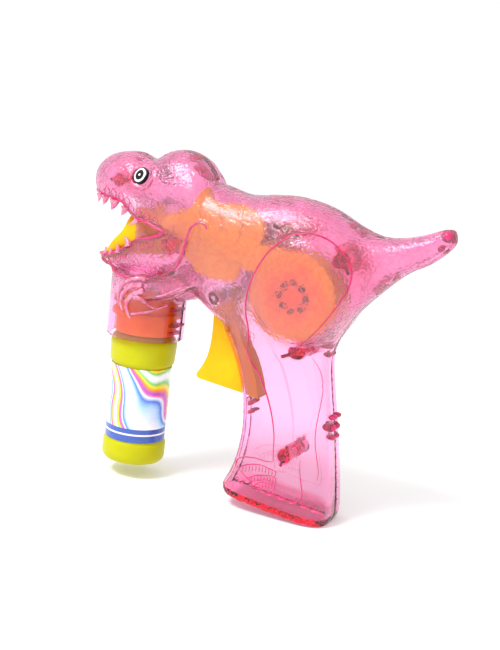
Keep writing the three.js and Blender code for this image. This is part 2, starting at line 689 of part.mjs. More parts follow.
const traySections = [
  { top: [-93.4, 126.4], foot: [-93.4, 123], half: 2.6 },
  { top: [-91, 129], foot: [-91, 121.9], half: 4.6 },
  { top: [-84, 132], foot: [-84, 120.2], half: 8.6 },
  { top: [-72, 133], foot: [-72, 118.9], half: 12.4 },
  { top: [-63, 133], foot: [-63, 119.6], half: 13.6 },
];

function dripTray() {
  const body = loft(traySections, 20);
  const hollow = loft(drawnIn(traySections, THIN), 20);
  const above = rodX([0, NOZZLE_Z], NOZZLE_R + 1 + GAP, NOZZLE_R + 1 + GAP, [NOZZLE_X[0] - GAP, -50]);
  const open = box([-92.2, -50], [-20, 20], [127.4, 140]);
  const drain = rodZ([BOTTLE_X + 6, 0], 2.4, [110, 130], 12);
  return body.subtract(hollow).subtract(above).subtract(open).subtract(drain);
}

// ---------------------------------------------------------------- pump

const PUMP_R = 9;
const ROLLER_R = 1.1;
const ROLLER_ORBIT = 3.9;
const TUBE_ORBIT = 7.1;

function pumpRotor() {
  const [from, to] = LAYER_3;
  const disc = rodY(PUMP_AXIS, 2.6, [from, to], 16);
  const flange = rodY(PUMP_AXIS, 5.1, [from - 0.2, from + 0.6], 20);
  return disc.add(flange).subtract(rodY(PUMP_AXIS, BORE_R, [0, 30], 12));
}

function pumpRoller(index) {
  const at = place(PUMP_AXIS, ROLLER_ORBIT, 90 + index * 120);
  return rodY(at, ROLLER_R, [LAYER_3[0] + 0.9, LAYER_3[1] - 0.2], 12);
}

// An open horseshoe that backs the tube round the rollers.
function pumpTrack() {
  const [from] = LAYER_3;
  const ring = rodY(PUMP_AXIS, PUMP_R + 0.9, [from + 0.2, LAYER_3[1]], 28)
    .subtract(rodY(PUMP_AXIS, PUMP_R, [0, 30], 28));
  const mouth = box([PUMP_AXIS[0] - 14, PUMP_AXIS[0] - 1], [0, 30], [PUMP_AXIS[1] - 14, PUMP_AXIS[1] + 14]);
  return ring.subtract(mouth);
}

// ---------------------------------------------------------------- feed tube

function feedTube() {
  const y = (LAYER_3[0] + LAYER_3[1]) / 2 + 0.2;
  const wrap = [];
  for (let angle = -100; angle <= 100; angle += 25) {
    const [x, z] = place(PUMP_AXIS, TUBE_ORBIT, angle);
    wrap.push(new THREE.Vector3(x, y, z));
  }
  const rise = [
    [BOTTLE_X, 0, 13], [BOTTLE_X, 0, 40], [BOTTLE_X, 0, 70], [BOTTLE_X, 0, 95], [BOTTLE_X, 0, 106],
    [-65, 1.5, 111], [-60.5, 5, 118.4], [-53, 8.4, 123.6], [-44, 11, 126.6], [-34.5, y, 128],
  ].map((point) => new THREE.Vector3(...point));
  const onward = [
    [-32, y, 145.4], [-38, 13.4, 149], [-44, 12.8, 152], [-50, 12.4, 154.8], [-57, 9.4, 158.6],
    [-62, 3.6, 160.6], [-63.5, 0.4, 159.4], [-63.5, 0, 157.6],
  ].map((point) => new THREE.Vector3(...point));
  const path = new THREE.CatmullRomCurve3([...rise, ...wrap, ...onward], false, 'centripetal');
  const circle = new THREE.Shape();
  circle.absarc(0, 0, TUBE_R, 0, 2 * Math.PI);
  const geometry = new THREE.ExtrudeGeometry(circle, { steps: 48, curveSegments: 4, extrudePath: path });
  const body = solid(geometry);
  return body.volume() > 0 ? body : solid(turnedInsideOut(geometry));
}

// ---------------------------------------------------------------- bottle, socket and washer

function turned(profile, sides = 26) {
  const closed = [...profile, profile[0]].map(([r, z]) => new THREE.Vector2(r, z));
  const geometry = new THREE.LatheGeometry(closed, sides);
  geometry.rotateX(Math.PI / 2);
  geometry.translate(BOTTLE_X, 0, 0);
  const body = solid(geometry);
  return body.volume() > 0 ? body : solid(turnedInsideOut(geometry));
}

function bottle() {
  const b = BOTTLE_BOTTOM;
  return turned([
    [0, b], [14.6, b], [17, b + 1.2], [18.15, b + 4], [18.15, 20.6], [17, 21.4], [17, 66.2],
    [18.4, 67.2], [18.7, 69], [19, 79.6], [16.4, 83.6], [NECK_R, 84.2], [NECK_R, NECK_TOP],
    [NECK_R - 1.4, NECK_TOP], [NECK_R - 1.4, 83], [16.6, 79], [15.8, 64], [15.6, 20], [15.4, b + 3],
    [13.6, b + 1.6], [0, b + 1.4],
  ]);
}

function label() {
  return turned([[17 + GAP / 2, 22.4], [17.5, 22.4], [17.5, 65.2], [17 + GAP / 2, 65.2]]);
}

function bottleSocket() {
  return turned([
    [2.4, SOCKET_TOP - 2], [2.4, SOCKET_TOP], [14, SOCKET_TOP], [SOCKET_R, SOCKET_TOP - 3],
    [SOCKET_R, SOCKET_BOTTOM], [NECK_R + GAP, SOCKET_BOTTOM], [NECK_R + GAP, SOCKET_TOP - 2],
  ]).add(
    rodZ([BOTTLE_X, 0], COLLAR_R - WALL - GAP, [95, 97], 26)
      .subtract(rodZ([BOTTLE_X, 0], SOCKET_R - 0.6, [94, 98], 26)),
  );
}

function sealingWasher() {
  return turned([
    [6, NECK_TOP + GAP], [NECK_R - 0.4, NECK_TOP + GAP], [NECK_R - 0.4, SOCKET_TOP - 2 - GAP],
    [6, SOCKET_TOP - 2 - GAP],
  ], 28);
}

// ---------------------------------------------------------------- assembly

const pinkShell = { color: 0xff7fb8, roughness: 0.35, metalness: 0 };
const yellow = { color: 0xffd400, roughness: 0.45, metalness: 0 };
const orange = { color: 0xff7a14, roughness: 0.45, metalness: 0 };
const white = { color: 0xf2f2ee, roughness: 0.5, metalness: 0 };
const steel = { color: 0xb8bcc0, roughness: 0.3, metalness: 1 };
const lime = { color: 0xd8dc10, roughness: 0.5, metalness: 0 };
const silicone = { color: 0xf0ece0, roughness: 0.6, metalness: 0 };

const toy = new THREE.Group();

function add(name, body, finish) {
  const mesh = new THREE.Mesh(geometryOf(body), new THREE.MeshStandardMaterial(finish));
  mesh.name = name;
  toy.add(mesh);
}

const halves = shellHalves();
add('left_shell', halves.left, pinkShell);
add('right_shell', halves.right, pinkShell);
for (const [name, screwPlace] of Object.entries(screwPlaces)) {
  add(`screw_${name}`, screw(screwPlace), steel);
}
add('left_eye', eyeDisc(-1, EYE_R, -1.4, 1.2), white);
add('right_eye', eyeDisc(1, EYE_R, -1.4, 1.2), white);

add('trigger', trigger(), yellow);
add('trigger_pin', rodY(TRIGGER_PIVOT, PIN_R, [-20.4, 20.4], 16), steel);
add('trigger_spring', triggerSpring(), steel);

add('gearbox_inner_plate', gearboxPlate(INNER_PLATE), yellow);
add('gearbox_outer_plate', gearboxPlate(OUTER_PLATE), yellow);
add('gear_one', gearOne(), white);
add('gear_two', gearTwo(), white);
add('fan_pinion', fanPinion(), white);
add('pump_gear', pumpGear(), white);
add('gear_one_axle', rodY(AXLE_1, PIN_R, AXLE_SPAN, 16), steel);
add('gear_two_axle', rodY(AXLE_2, PIN_R, AXLE_SPAN, 16), steel);
add('pump_axle', rodY(PUMP_AXIS, PIN_R, AXLE_SPAN, 16), steel);
add('fan_shaft', rodY(FAN_AXIS, PIN_R, [HOUSING_Y[0] + 2.8, OUTER_PLATE[1]], 16), steel);

add('fan_housing_left', fanHousingLeft(), orange);
add('fan_housing_right', fanHousingRight(), orange);
add('impeller', impeller(), white);
add('air_duct', airDuct(), yellow);
add('nozzle_barrel', nozzleBarrel(), yellow);
add('bubble_ring', bubbleRing(), orange);
add('film_wiper', filmWiper(), white);
add('drip_tray', dripTray(), yellow);

add('pump_rotor', pumpRotor(), white);
for (let i = 0; i < 3; i += 1) add(`pump_roller_${i + 1}`, pumpRoller(i), steel);
add('pump_track', pumpTrack(), yellow);
add('feed_tube', feedTube(), silicone);

add('bottle_socket', bottleSocket(), orange);
add('sealing_washer', sealingWasher(), silicone);
add('bottle', bottle(), lime);
add('bottle_label', label(), white);

export default toy;
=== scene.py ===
"""Bubble blower in the shape of a roaring dinosaur, moulded in see-through pink plastic."""

import math

import bmesh
import bpy
import numpy as np
import openvdb as vdb
from mathutils import Matrix, Vector


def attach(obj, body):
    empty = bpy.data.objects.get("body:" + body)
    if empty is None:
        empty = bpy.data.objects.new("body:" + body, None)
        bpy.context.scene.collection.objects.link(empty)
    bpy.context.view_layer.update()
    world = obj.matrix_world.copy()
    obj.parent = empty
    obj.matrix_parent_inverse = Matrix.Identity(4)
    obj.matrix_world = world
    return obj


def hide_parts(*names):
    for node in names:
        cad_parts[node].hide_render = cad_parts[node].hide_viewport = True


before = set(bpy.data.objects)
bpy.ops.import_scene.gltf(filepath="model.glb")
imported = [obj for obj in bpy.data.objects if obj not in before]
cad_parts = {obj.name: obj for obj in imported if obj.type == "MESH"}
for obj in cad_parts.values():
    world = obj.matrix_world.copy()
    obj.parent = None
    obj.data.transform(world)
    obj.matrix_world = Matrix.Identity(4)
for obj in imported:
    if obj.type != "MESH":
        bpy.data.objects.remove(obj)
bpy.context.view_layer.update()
MM = 0.001

# ---- Outer form of the toy ----
# Body, jaws, grip and collar are one hollow moulding in two halves.  Its form is built up as a
# field of distances on a fine lattice, half a body deep, because both halves mirror each other.
PITCH = 0.8
CORNER = (-138, -2, -5)
COUNT = (276, 42, 245)
X = (np.arange(COUNT[0], dtype=np.float32) + CORNER[0]).reshape(-1, 1, 1) * PITCH
Y = (np.arange(COUNT[1], dtype=np.float32) + CORNER[1]).reshape(1, -1, 1) * PITCH
Z = (np.arange(COUNT[2], dtype=np.float32) + CORNER[2]).reshape(1, 1, -1) * PITCH


def curve_through(rows, steps):
    """A smooth curve through the rows, as an array with `steps` points for each gap."""
    rows = np.array(rows, float)
    padded = np.vstack([2 * rows[0] - rows[1], rows, 2 * rows[-1] - rows[-2]])
    curve = []
    for i in range(len(rows) - 1):
        a, b, c, d = padded[i:i + 4]
        for t in np.arange(steps) / steps:
            curve.append(0.5 * (2 * b + (c - a) * t + (2 * a - 5 * b + 4 * c - d) * t ** 2
                                + (3 * b - a - 3 * c + d) * t ** 3))
    return np.array(curve + [rows[-1]])


def skinned(sections, sides=56, steps=8):
    """Points and triangles of a body skinned through ovals: top x, z, foot x, z, half, power, y."""
    rings = curve_through(sections, steps)
    turn = np.linspace(0, 2 * np.pi, sides, endpoint=False)
    across = np.sign(np.cos(turn)) * np.abs(np.cos(turn))[None] ** (2 / rings[:, 5:6])
    along = np.sign(np.sin(turn)) * np.abs(np.sin(turn))[None] ** (2 / rings[:, 5:6])
    centre = (rings[:, 0:2] + rings[:, 2:4]) / 2
    arm = (rings[:, 0:2] - rings[:, 2:4]) / 2
    points = np.stack([centre[:, :1] + arm[:, :1] * along,
                       rings[:, 6:7] + rings[:, 4:5] * across,
                       centre[:, 1:] + arm[:, 1:] * along], -1).reshape(-1, 3)
    hubs = np.array([[centre[k, 0], rings[k, 6], centre[k, 1]] for k in (0, -1)])
    triangles = []
    for s in range(len(rings) - 1):
        for i in range(sides):
            a, b = s * sides + i, s * sides + (i + 1) % sides
            triangles += [(a, b, a + sides), (b, b + sides, a + sides)]
    first, last = len(points), (len(rings) - 1) * sides
    for i in range(sides):
        triangles += [(first, (i + 1) % sides, i), (first + 1, last + i, last + (i + 1) % sides)]
    return np.vstack([points, hubs]), np.array(triangles)


def field_of(points, triangles, reach=8):
    """Signed distance to a closed surface, in millimetres, on the lattice."""
    grid = vdb.FloatGrid.createLevelSetFromPolygons(
        np.ascontiguousarray(points, dtype=np.float32),
        triangles=np.ascontiguousarray(triangles, dtype=np.uint32),
        transform=vdb.createLinearTransform(voxelSize=PITCH), halfWidth=reach)
    values = np.zeros(COUNT, np.float32)
    grid.copyToArray(values, ijk=CORNER)
    return values


def blended(a, b, width):
    """Both forms together, with a fillet about `width` wide where they meet."""
    near = np.maximum(width - np.abs(a - b), 0) / width
    return np.minimum(a, b) - near * near * width / 4


def surface_of(field):
    """Points and triangles of the field's zero surface."""
    grid = vdb.FloatGrid(PITCH * 4)
    grid.transform = vdb.createLinearTransform(voxelSize=PITCH)
    grid.copyFromArray(np.ascontiguousarray(np.clip(field, -PITCH * 4, PITCH * 4),
                                            dtype=np.float32),
                       ijk=CORNER)
    points, quads = grid.convertToQuads(isovalue=0)
    return points, np.vstack([quads[:, [0, 1, 2]], quads[:, [0, 2, 3]]]), quads


HEAD = [
    (-104.2, 173, -104.2, 165, 3.6, 2.1, 0), (-102.6, 176.4, -102.6, 159, 8, 2.1, 0),
    (-96.4, 181.6, -96.4, 155, 12.6, 2.1, 0), (-88, 184.4, -88, 152, 16, 2.1, 0),
    (-79, 185, -79, 148, 18.2, 2.1, 0), (-69.5, 182.6, -69.5, 140, 19.4, 2.1, 0),
    (-60, 188.2, -60, 128, 20.6, 2.1, 0), (-49.5, 190, -49, 122, 21.6, 2.1, 0),
    (-39, 186.6, -38, 120, 22.6, 2.1, 0), (-32, 179.5, -31, 118, 22.6, 2.1, 0),
]
TORSO = [
    (-46, 174, -43, 117.5, 22, 2.5, 0), (-29, 174.6, -31, 109.5, 23.8, 2.5, 0),
    (-12, 171.4, -18, 101, 25, 2.5, 0), (5, 173.6, 0, 92, 25.4, 2.5, 0),
    (20, 174.4, 24, 88, 25.4, 2.4, 0), (37.4, 171.4, 43, 98, 24, 2.3, 0),
    (53.6, 164.5, 55, 113.5, 19.5, 2.3, 0), (66, 161, 68.5, 129.5, 15, 2.3, 0),
    (77.6, 162, 82, 143, 11, 2.3, 0), (88, 165.2, 93, 150, 8.6, 2.3, 0),
    (97.5, 169.4, 101.2, 157.3, 6.8, 2.3, 0), (102.8, 170.4, 105.2, 162.6, 4.4, 2.2, 0),
    (104.6, 169, 105.6, 165.2, 1.9, 2, 0),
]
JAW = [
    (-97.3, 126.5, -97.3, 121.3, 4, 2.2, 0), (-93, 130, -93, 119.2, 8.4, 2.3, 0),
    (-82, 134, -82, 116.8, 13, 2.3, 0), (-70, 141, -70, 115.2, 17.4, 2.3, 0),
    (-58, 148, -58, 115.6, 20.6, 2.3, 0), (-46, 152, -46, 118, 22.4, 2.3, 0),
    (-37, 150, -37, 123, 22, 2.3, 0),
]
GRIP = [
    (50, 108, -14, 96, 21, 2.4, 0), (47.4, 91.5, -5, 78, 17.6, 2.8, 0),
    (49.3, 76, 0.8, 62, 15.6, 3.4, 0), (53.4, 56, 2.9, 45, 15, 3.8, 0),
    (56.8, 36, 2, 30, 15.8, 4, 0), (59.4, 17, -0.6, 19, 18, 4, 0),
    (60.2, 5.6, -3.6, 11.6, 19.8, 4, 0), (58.6, 0, -2.6, 7.1, 19, 4, 0),
]
THROAT = [(-48, 122, -48, 104.5, 13, 3, 0), (-30, 122, -34, 109, 13, 3, 0)]
ARM = [
    (-27, 131.5, -24, 122, 2.2, 2.2, 21.2), (-40, 127, -37, 113, 4, 2.3, 20.8),
    (-52, 120.5, -50, 108, 4.6, 2.3, 20.5), (-64, 117.5, -63, 104, 4.4, 2.3, 20.6),
    (-73, 113, -70, 103, 3.2, 2.3, 19.6),
]
HAUNCH_CENTRE, HAUNCH_RADII, HAUNCH_HALF = (29.5, 128.5), (28.5, 33), 30
COLLAR_X, COLLAR_R, COLLAR_Z = -66, 22.1, (82, 119)

form = blended(field_of(*skinned(HEAD)), field_of(*skinned(TORSO)), 2.5)
form = blended(form, field_of(*skinned(JAW)), 4)
form = blended(form, field_of(*skinned(GRIP)), 7)
form = blended(form, field_of(*skinned(THROAT)), 2)
haunch = (((X - HAUNCH_CENTRE[0]) / HAUNCH_RADII[0]) ** 2
          + ((Z - HAUNCH_CENTRE[1]) / HAUNCH_RADII[1]) ** 2) ** 2 + np.abs(Y / HAUNCH_HALF) ** 4
form = blended(form, (haunch ** 0.25 - 1) * HAUNCH_HALF, 3)
from_collar_axis = np.sqrt((X - COLLAR_X) ** 2 + Y ** 2)
collar = np.maximum(from_collar_axis - COLLAR_R,
                    np.abs(Z - np.mean(COLLAR_Z)) - np.ptp(COLLAR_Z) / 2)
form = blended(form, collar, 1.6)
form = blended(form, field_of(*skinned(ARM, 32)), 2.5)
points, triangles, quads = surface_of(form)
form = field_of(points, triangles, 9)

# ---- Clear pink plastic ----
# Dyed clear styrene: a wall looks pale and a thick post deep red, so the dye is in the volume,
# and posts, webs and the foot of the grip are tinted deeper on their surface as well.
# The tool is spark-eroded to a pebble grain on head, body and tail, and polished on the grip
# and the collar.


class Value:
    """One socket of a material; sums and products with it add Math nodes."""

    def __init__(self, tree, socket):
        self.tree, self.socket = tree, socket

    def node(self, kind, inputs=(), output=0, stops=None, **settings):
        """Any node: its settings first, then values or links for its inputs."""
        made = self.tree.nodes.new(kind)
        for key, value in settings.items():
            setattr(made, key, value)
        if stops:
            ramp = made.color_ramp
            while len(ramp.elements) < len(stops):
                ramp.elements.new(0.5)
            for element, (place, colour) in zip(ramp.elements, stops):
                element.position, element.color = place, (*colour, 1)
        for key, value in dict(inputs).items():
            if isinstance(value, Value):
                self.tree.links.new(value.socket, made.inputs[key])
            else:
                made.inputs[key].default_value = value
        return Value(self.tree, made.outputs[output])

    def math(self, operation, *others):
        return self.node("ShaderNodeMath", dict(enumerate((self, *others))), operation=operation)

    def __add__(self, other):
        return self.math("ADD", other)

    def __sub__(self, other):
        return self.math("SUBTRACT", other)

    def __mul__(self, other):
        return self.math("MULTIPLY", other)

    def __rsub__(self, other):
        return self.math("MULTIPLY_ADD", -1, other)

    __radd__, __rmul__ = __add__, __mul__

    def between(self, low, high):
        """0 below low, 1 above high and a soft step between."""
        return self.node("ShaderNodeMapRange", {0: self, 1: low, 2: high},
                         interpolation_type="SMOOTHSTEP")

    def noise(self, size, detail=2.0, distortion=0.0):
        """Noise with lumps of about `size` metres."""
        return self.node("ShaderNodeTexNoise", {
            "Vector": self, "Scale": 1 / size, "Detail": detail, "Distortion": distortion})

    def blend(self, factor, other):
        """This colour, turning into the other where factor is 1."""
        return self.node("ShaderNodeMix", {0: factor, 6: self, 7: other}, 2, data_type="RGBA")


def new_material(name, colour=(0.8, 0.8, 0.8), roughness=0.5, **constants):
    """A material, its shader's inputs and its Object coordinates as a Value."""
    material = bpy.data.materials.new(name)
    material.use_nodes = True
    shader = material.node_tree.nodes["Principled BSDF"].inputs
    shader["Base Color"].default_value = (*colour, 1)
    shader["Roughness"].default_value = roughness
    for key, value in constants.items():
        shader[key.replace("_", " ")].default_value = value
    coordinates = material.node_tree.nodes.new("ShaderNodeTexCoord")
    return material, shader, Value(material.node_tree, coordinates.outputs["Object"])


def connect(value, socket):
    value.tree.links.new(value.socket, socket)


def bumped(height, distance, strength, shader):
    """The height as a bump on the shader, `distance` metres for a step of 1."""
    connect(height.node("ShaderNodeBump", {"Height": height, "Distance": distance,
                                           "Strength": strength}), shader["Normal"])


pink, shader, place = new_material("clear_pink_plastic", (1, 0.95, 0.97), 0.05,
                                   Transmission_Weight=1, IOR=1.46)
along = place.node("ShaderNodeSeparateXYZ", {0: place})
high = place.node("ShaderNodeSeparateXYZ", {0: place}, 2)
outer_skin = place.node("ShaderNodeAttribute", output=2, attribute_name="outer_skin")
heavy = place.node("ShaderNodeAttribute", output=2, attribute_name="heavy")
wander = place.noise(0.009)
low_edge = 0.102 + (0.008 * (1 - along.between(-0.048, -0.03)))
grained = (high + wander * 0.014 - low_edge).between(-0.004, 0.012) * outer_skin
warped = place.node("ShaderNodeVectorMath", {0: place, 1: place.node(
    "ShaderNodeVectorMath", {0: place.node("ShaderNodeTexNoise", {"Vector": place, "Scale": 420},
                                           1),
                             1: (0.0011, 0.0011, 0.0011)}, operation="MULTIPLY")}, operation="ADD")
cells = warped.node("ShaderNodeTexVoronoi", {"Vector": warped, "Scale": 620, "Randomness": 1},
                    feature="SMOOTH_F1")
# The hollows between the pebbles are painted a darker pink: painted shade in the grain.
valley_painted_shade = cells.between(0.34, 0.6)
tint = place.node("ShaderNodeRGB")
tint.socket.default_value = (1, 0.95, 0.97, 1)
pebbled = tint.blend(valley_painted_shade * grained * 0.42, (0.94, 0.36, 0.57, 1))
connect(pebbled.blend(heavy, (0.97, 0.22, 0.4, 1)), shader["Base Color"])
connect(grained * (0.1 + 0.08 * wander) + 0.03, shader["Roughness"])
bumped((1 - cells * 1.2 + place.noise(0.0006, 2) * 0.3) * grained, 0.0005, 0.7, shader)
volume = pink.node_tree.nodes.new("ShaderNodeVolumeAbsorption")
volume.inputs["Color"].default_value = (0.988, 0.06, 0.6, 1)
volume.inputs["Density"].default_value = 180
pink.node_tree.links.new(volume.outputs[0],
                         pink.node_tree.nodes["Material Output"].inputs["Volume"])
haze = pink.node_tree.nodes.new("ShaderNodeBsdfPrincipled")
haze.inputs["Base Color"].default_value = (1, 0.62, 0.8, 1)
haze.inputs["Roughness"].default_value = 0.6
mixed = pink.node_tree.nodes.new("ShaderNodeMixShader")
connect(grained * 0.07, mixed.inputs[0])
pink.node_tree.links.new(pink.node_tree.nodes["Principled BSDF"].outputs[0], mixed.inputs[1])
pink.node_tree.links.new(haze.outputs[0], mixed.inputs[2])
pink.node_tree.links.new(mixed.outputs[0],
                         pink.node_tree.nodes["Material Output"].inputs["Surface"])

# Dark pink for the cut lines, lips, tooth roots and seam pegs: painted shade, standing for the dark
# look these have in clear plastic; on the pegs it is also the deeper pink of thick plastic.
painted_shade_pink, shader, place = new_material("pink_painted_shade", (0.8, 0.02, 0.16), 0.3,
                                     Transmission_Weight=0.25)
shade = place.node("ShaderNodeRGB")
shade.socket.default_value = (0.85, 0.03, 0.2, 1)
connect(shade.blend(place.noise(0.004).between(0.35, 0.7), (0.66, 0.02, 0.13, 1)),
        shader["Base Color"])
bumped(place.noise(0.001), 0.0001, 0.3, shader)

milky, shader, place = new_material("milky_pink_tip", (1, 0.5, 0.7), 0.18,
                                    Transmission_Weight=0.55)
shade = place.node("ShaderNodeRGB")
shade.socket.default_value = (1, 0.5, 0.7, 1)
connect(shade.blend(place.noise(0.0025).between(0.35, 0.7), (0.97, 0.2, 0.42, 1)),
        shader["Base Color"])
bumped(place.noise(0.001), 0.0001, 0.3, shader)

# ---- The two halves ----
# The toy's left and right halves are injection-moulded with 2 mm walls and screwed together on
# the seam: posts with webs take the screws, and slots leave room for the mouth and the trigger.
WALL = 2.0
SEAM = 0.15
SLOT_HALF = 6.7
SWEPT_SKIN = 1.3


def closed_outline(points, steps=5):
    """Signed distance in the XZ plane to a closed smooth outline, less than zero inside."""
    loop = np.array(points, float)
    loop = curve_through(np.vstack([loop, loop[:1]]), steps)
    return flat_distance(loop, True)


def flat_distance(run, closed=False):
    """Distance in the XZ plane to a run of points."""
    best = np.full((COUNT[0], 1, COUNT[2]), 1e9, np.float32)
    crossed = np.zeros(best.shape, bool)
    for (ax, az), (bx, bz) in zip(run[:-1], run[1:]):
        dx, dz = bx - ax, bz - az
        t = np.clip(((X - ax) * dx + (Z - az) * dz) / (dx * dx + dz * dz + 1e-12), 0, 1)
        best = np.minimum(best, (X - ax - t * dx) ** 2 + (Z - az - t * dz) ** 2)
        if closed and az != bz:
            crossed ^= ((az > Z) != (bz > Z)) & (X < dx * (Z - az) / dz + ax)
    best = np.sqrt(best)
    return np.where(crossed, -best, best) if closed else best


def bead(run, radius, lift=0.2):
    """A raised bead that follows a line on the outer skin."""
    return np.sqrt(flat_distance(np.array(run)) ** 2 + (form - lift) ** 2) - radius


def post(x, z, radius):
    """A round post along Y, from the outer skin to the seam."""
    return np.maximum(np.sqrt((X - x) ** 2 + (Z - z) ** 2) - radius, form)


def bar(x, z, length, angle, thick):
    """An upright stiffening web across the wall, `length` each way from (x, z)."""
    c, s = math.cos(math.radians(angle)), math.sin(math.radians(angle))
    along, over = (X - x) * c + (Z - z) * s, (Z - z) * c - (X - x) * s
    depth = np.maximum(form, -(form + 9))
    return np.maximum(np.maximum(np.abs(along) - length, np.abs(over) - thick / 2), depth)


MOUTH = [
    (-104, 160.3), (-97, 159.4), (-89.4, 159.1), (-83.6, 158.6), (-79.5, 157.2), (-77, 154.8),
    (-74.3, 152), (-70.5, 150.4), (-65.3, 149.9), (-59.7, 148.5), (-55.7, 147.2), (-52.2, 146.2),
    (-51.4, 145.2), (-53.5, 143.7), (-60.9, 140.7), (-67.5, 138.6), (-73.5, 136.2), (-79.1, 131),
    (-83.1, 128.6), (-87.2, 126.9), (-91.4, 125.8), (-99, 125), (-124, 125), (-128, 143),
    (-124, 160.6),
]
JAW_RIDGE = [
    (-94, 122.6), (-88.5, 120.4), (-79, 118.2), (-67, 117.4), (-57, 118.8), (-48.5, 122),
    (-42, 126.8), (-38.4, 132.2), (-36.6, 138), (-35.5, 144.4), (-33.8, 150.5), (-31.3, 153.6),
    (-28.3, 155), (-25.8, 154.3), (-24, 152.4),
]
EYE_CREASE = [(-65, 179), (-63.2, 176.4), (-62.8, 173), (-63.6, 169.6), (-67, 167.2),
              (-71.4, 167.6)]
POSTS = {"nose": (-83.7, 169.3), "haunch_top": (19.5, 157.4), "haunch_rear": (51.2, 147.1),
         "haunch_low": (32.4, 94.4), "grip": (32, 35.2)}
WEBS = {"nose": (6.4, 6), "haunch_top": (8, -14), "haunch_rear": (8, -58),
        "haunch_low": (9, 26), "grip": (6, 78)}
CHEEK = [(-53, 141.2), (-39.4, 143.8), (-42.3, 139.4), (-45.6, 134.2), (-48.4, 137.2),
         (-51, 139.4)]
PIN = (-17, 115.5)

mouth = closed_outline(MOUTH)
wall = np.maximum(form, -(form + WALL))
rim = np.maximum(np.maximum(form, -(form + 3.3)), np.maximum(Y - 1.7, 108 - Z))
base = np.maximum(form, (Z - 7) * 0.993 + (X - 28) * 0.115)
flange = np.maximum(np.maximum(form, -(form + 5)), mouth - 1.4)
shell = np.minimum(np.minimum(wall, rim), np.minimum(flange, base))
shell = np.maximum(shell, -mouth)
shell = blended(shell, np.sqrt(mouth ** 2 + (form + 0.3) ** 2) - 1.15, 0.8)
shell = blended(shell, bead(curve_through(JAW_RIDGE, 4), 0.95), 1)
shell = blended(shell, bead(curve_through(EYE_CREASE, 4), 0.6), 1)
cheek_plate = np.maximum(np.maximum(np.abs(Y - 14.6) - 0.8, mouth - 0.5), -71 - X)
shell = np.minimum(shell, cheek_plate)
throat_floor = np.maximum(np.maximum(form, np.abs(Z - 117.9) - 0.9), 14 - from_collar_axis)
shell = np.minimum(shell, np.maximum(throat_floor, from_collar_axis - COLLAR_R))
shell = np.maximum(shell, -np.maximum(from_collar_axis - COLLAR_R + WALL, Z - 86))
slot = np.maximum(np.maximum(np.abs(X + 9.5) - 23.5, np.abs(Z - 84.5) - 24), Y - SLOT_HALF)
shell = np.maximum(shell, -slot)
swept = np.maximum(np.maximum(np.abs(X + 3.5) - 30, np.abs(Z - 90) - 31), Y - 7.3)
shell = np.maximum(shell, -np.maximum(swept, form + SWEPT_SKIN))
for name, (length, angle) in WEBS.items():
    shell = np.minimum(shell, bar(*POSTS[name], length, angle, 1.3))
cheek = np.maximum(flat_distance(np.array(CHEEK + CHEEK[:1]), True), form)
EYE = (-70.4, 17, 174)
EYE_NORMAL = Vector((-0.307, 0.859, 0.41)).normalized()
eye_depth = (X - EYE[0]) * EYE_NORMAL.x + (Y - EYE[1]) * EYE_NORMAL.y + (Z - EYE[2]) * EYE_NORMAL.z
eye_radius = np.sqrt(np.maximum(
    (X - EYE[0]) ** 2 + (Y - EYE[1]) ** 2 + (Z - EYE[2]) ** 2 - eye_depth ** 2, 0))
eye_seat = np.maximum(eye_radius - 5.5, -1.6 - eye_depth)
halves = {}
for side, post_radius, bore_radius in ((-1, 3.9, 1.2), (1, 4.6, 1.5)):
    half = shell
    for name, (x, z) in POSTS.items():
        radius = post_radius if name != "grip" else post_radius - 0.4
        half = np.minimum(half, post(x, z, radius if name != "nose" else 3.1))
    half = np.minimum(half, cheek)
    half = np.minimum(half, np.maximum(post(*PIN, 3.2), (7.4 if side < 0 else 16.1) - Y))
    for x, z in [*POSTS.values(), (-41.9, 138.7)]:
        from_axis = np.sqrt((X - x) ** 2 + (Z - z) ** 2)
        half = np.maximum(half, -np.maximum(from_axis - bore_radius, Y - 8.6))
        if side > 0:
            half = np.maximum(half, -np.maximum(from_axis - 3.3, 8.6 - Y))
    half = np.maximum(half, -np.maximum(np.sqrt((X - PIN[0]) ** 2 + (Z - PIN[1]) ** 2) - 1.8,
                                        Y - 21))
    half = np.maximum(half, -eye_seat)
    halves[side] = np.maximum(half, SEAM - Y)


def object_from(name, points, faces, side=1):
    """A mesh object from millimetre points; side -1 mirrors it to the toy's left."""
    points = np.array(points) * MM * (1, side, 1)
    mesh = bpy.data.meshes.new(name)
    mesh.from_pydata(points.tolist(), [], [tuple(f)[::side] for f in np.array(faces).tolist()])
    mesh.polygons.foreach_set("use_smooth", [True] * len(mesh.polygons))
    piece = bpy.data.objects.new(name, mesh)
    bpy.context.scene.collection.objects.link(piece)
    return piece


def made_real(piece):
    """The piece with its modifiers' result as its plain mesh."""
    bpy.context.view_layer.update()
    evaluated = piece.evaluated_get(bpy.context.evaluated_depsgraph_get())
    mesh = bpy.data.meshes.new_from_object(evaluated)
    piece.modifiers.clear()
    piece.data = mesh
    return piece


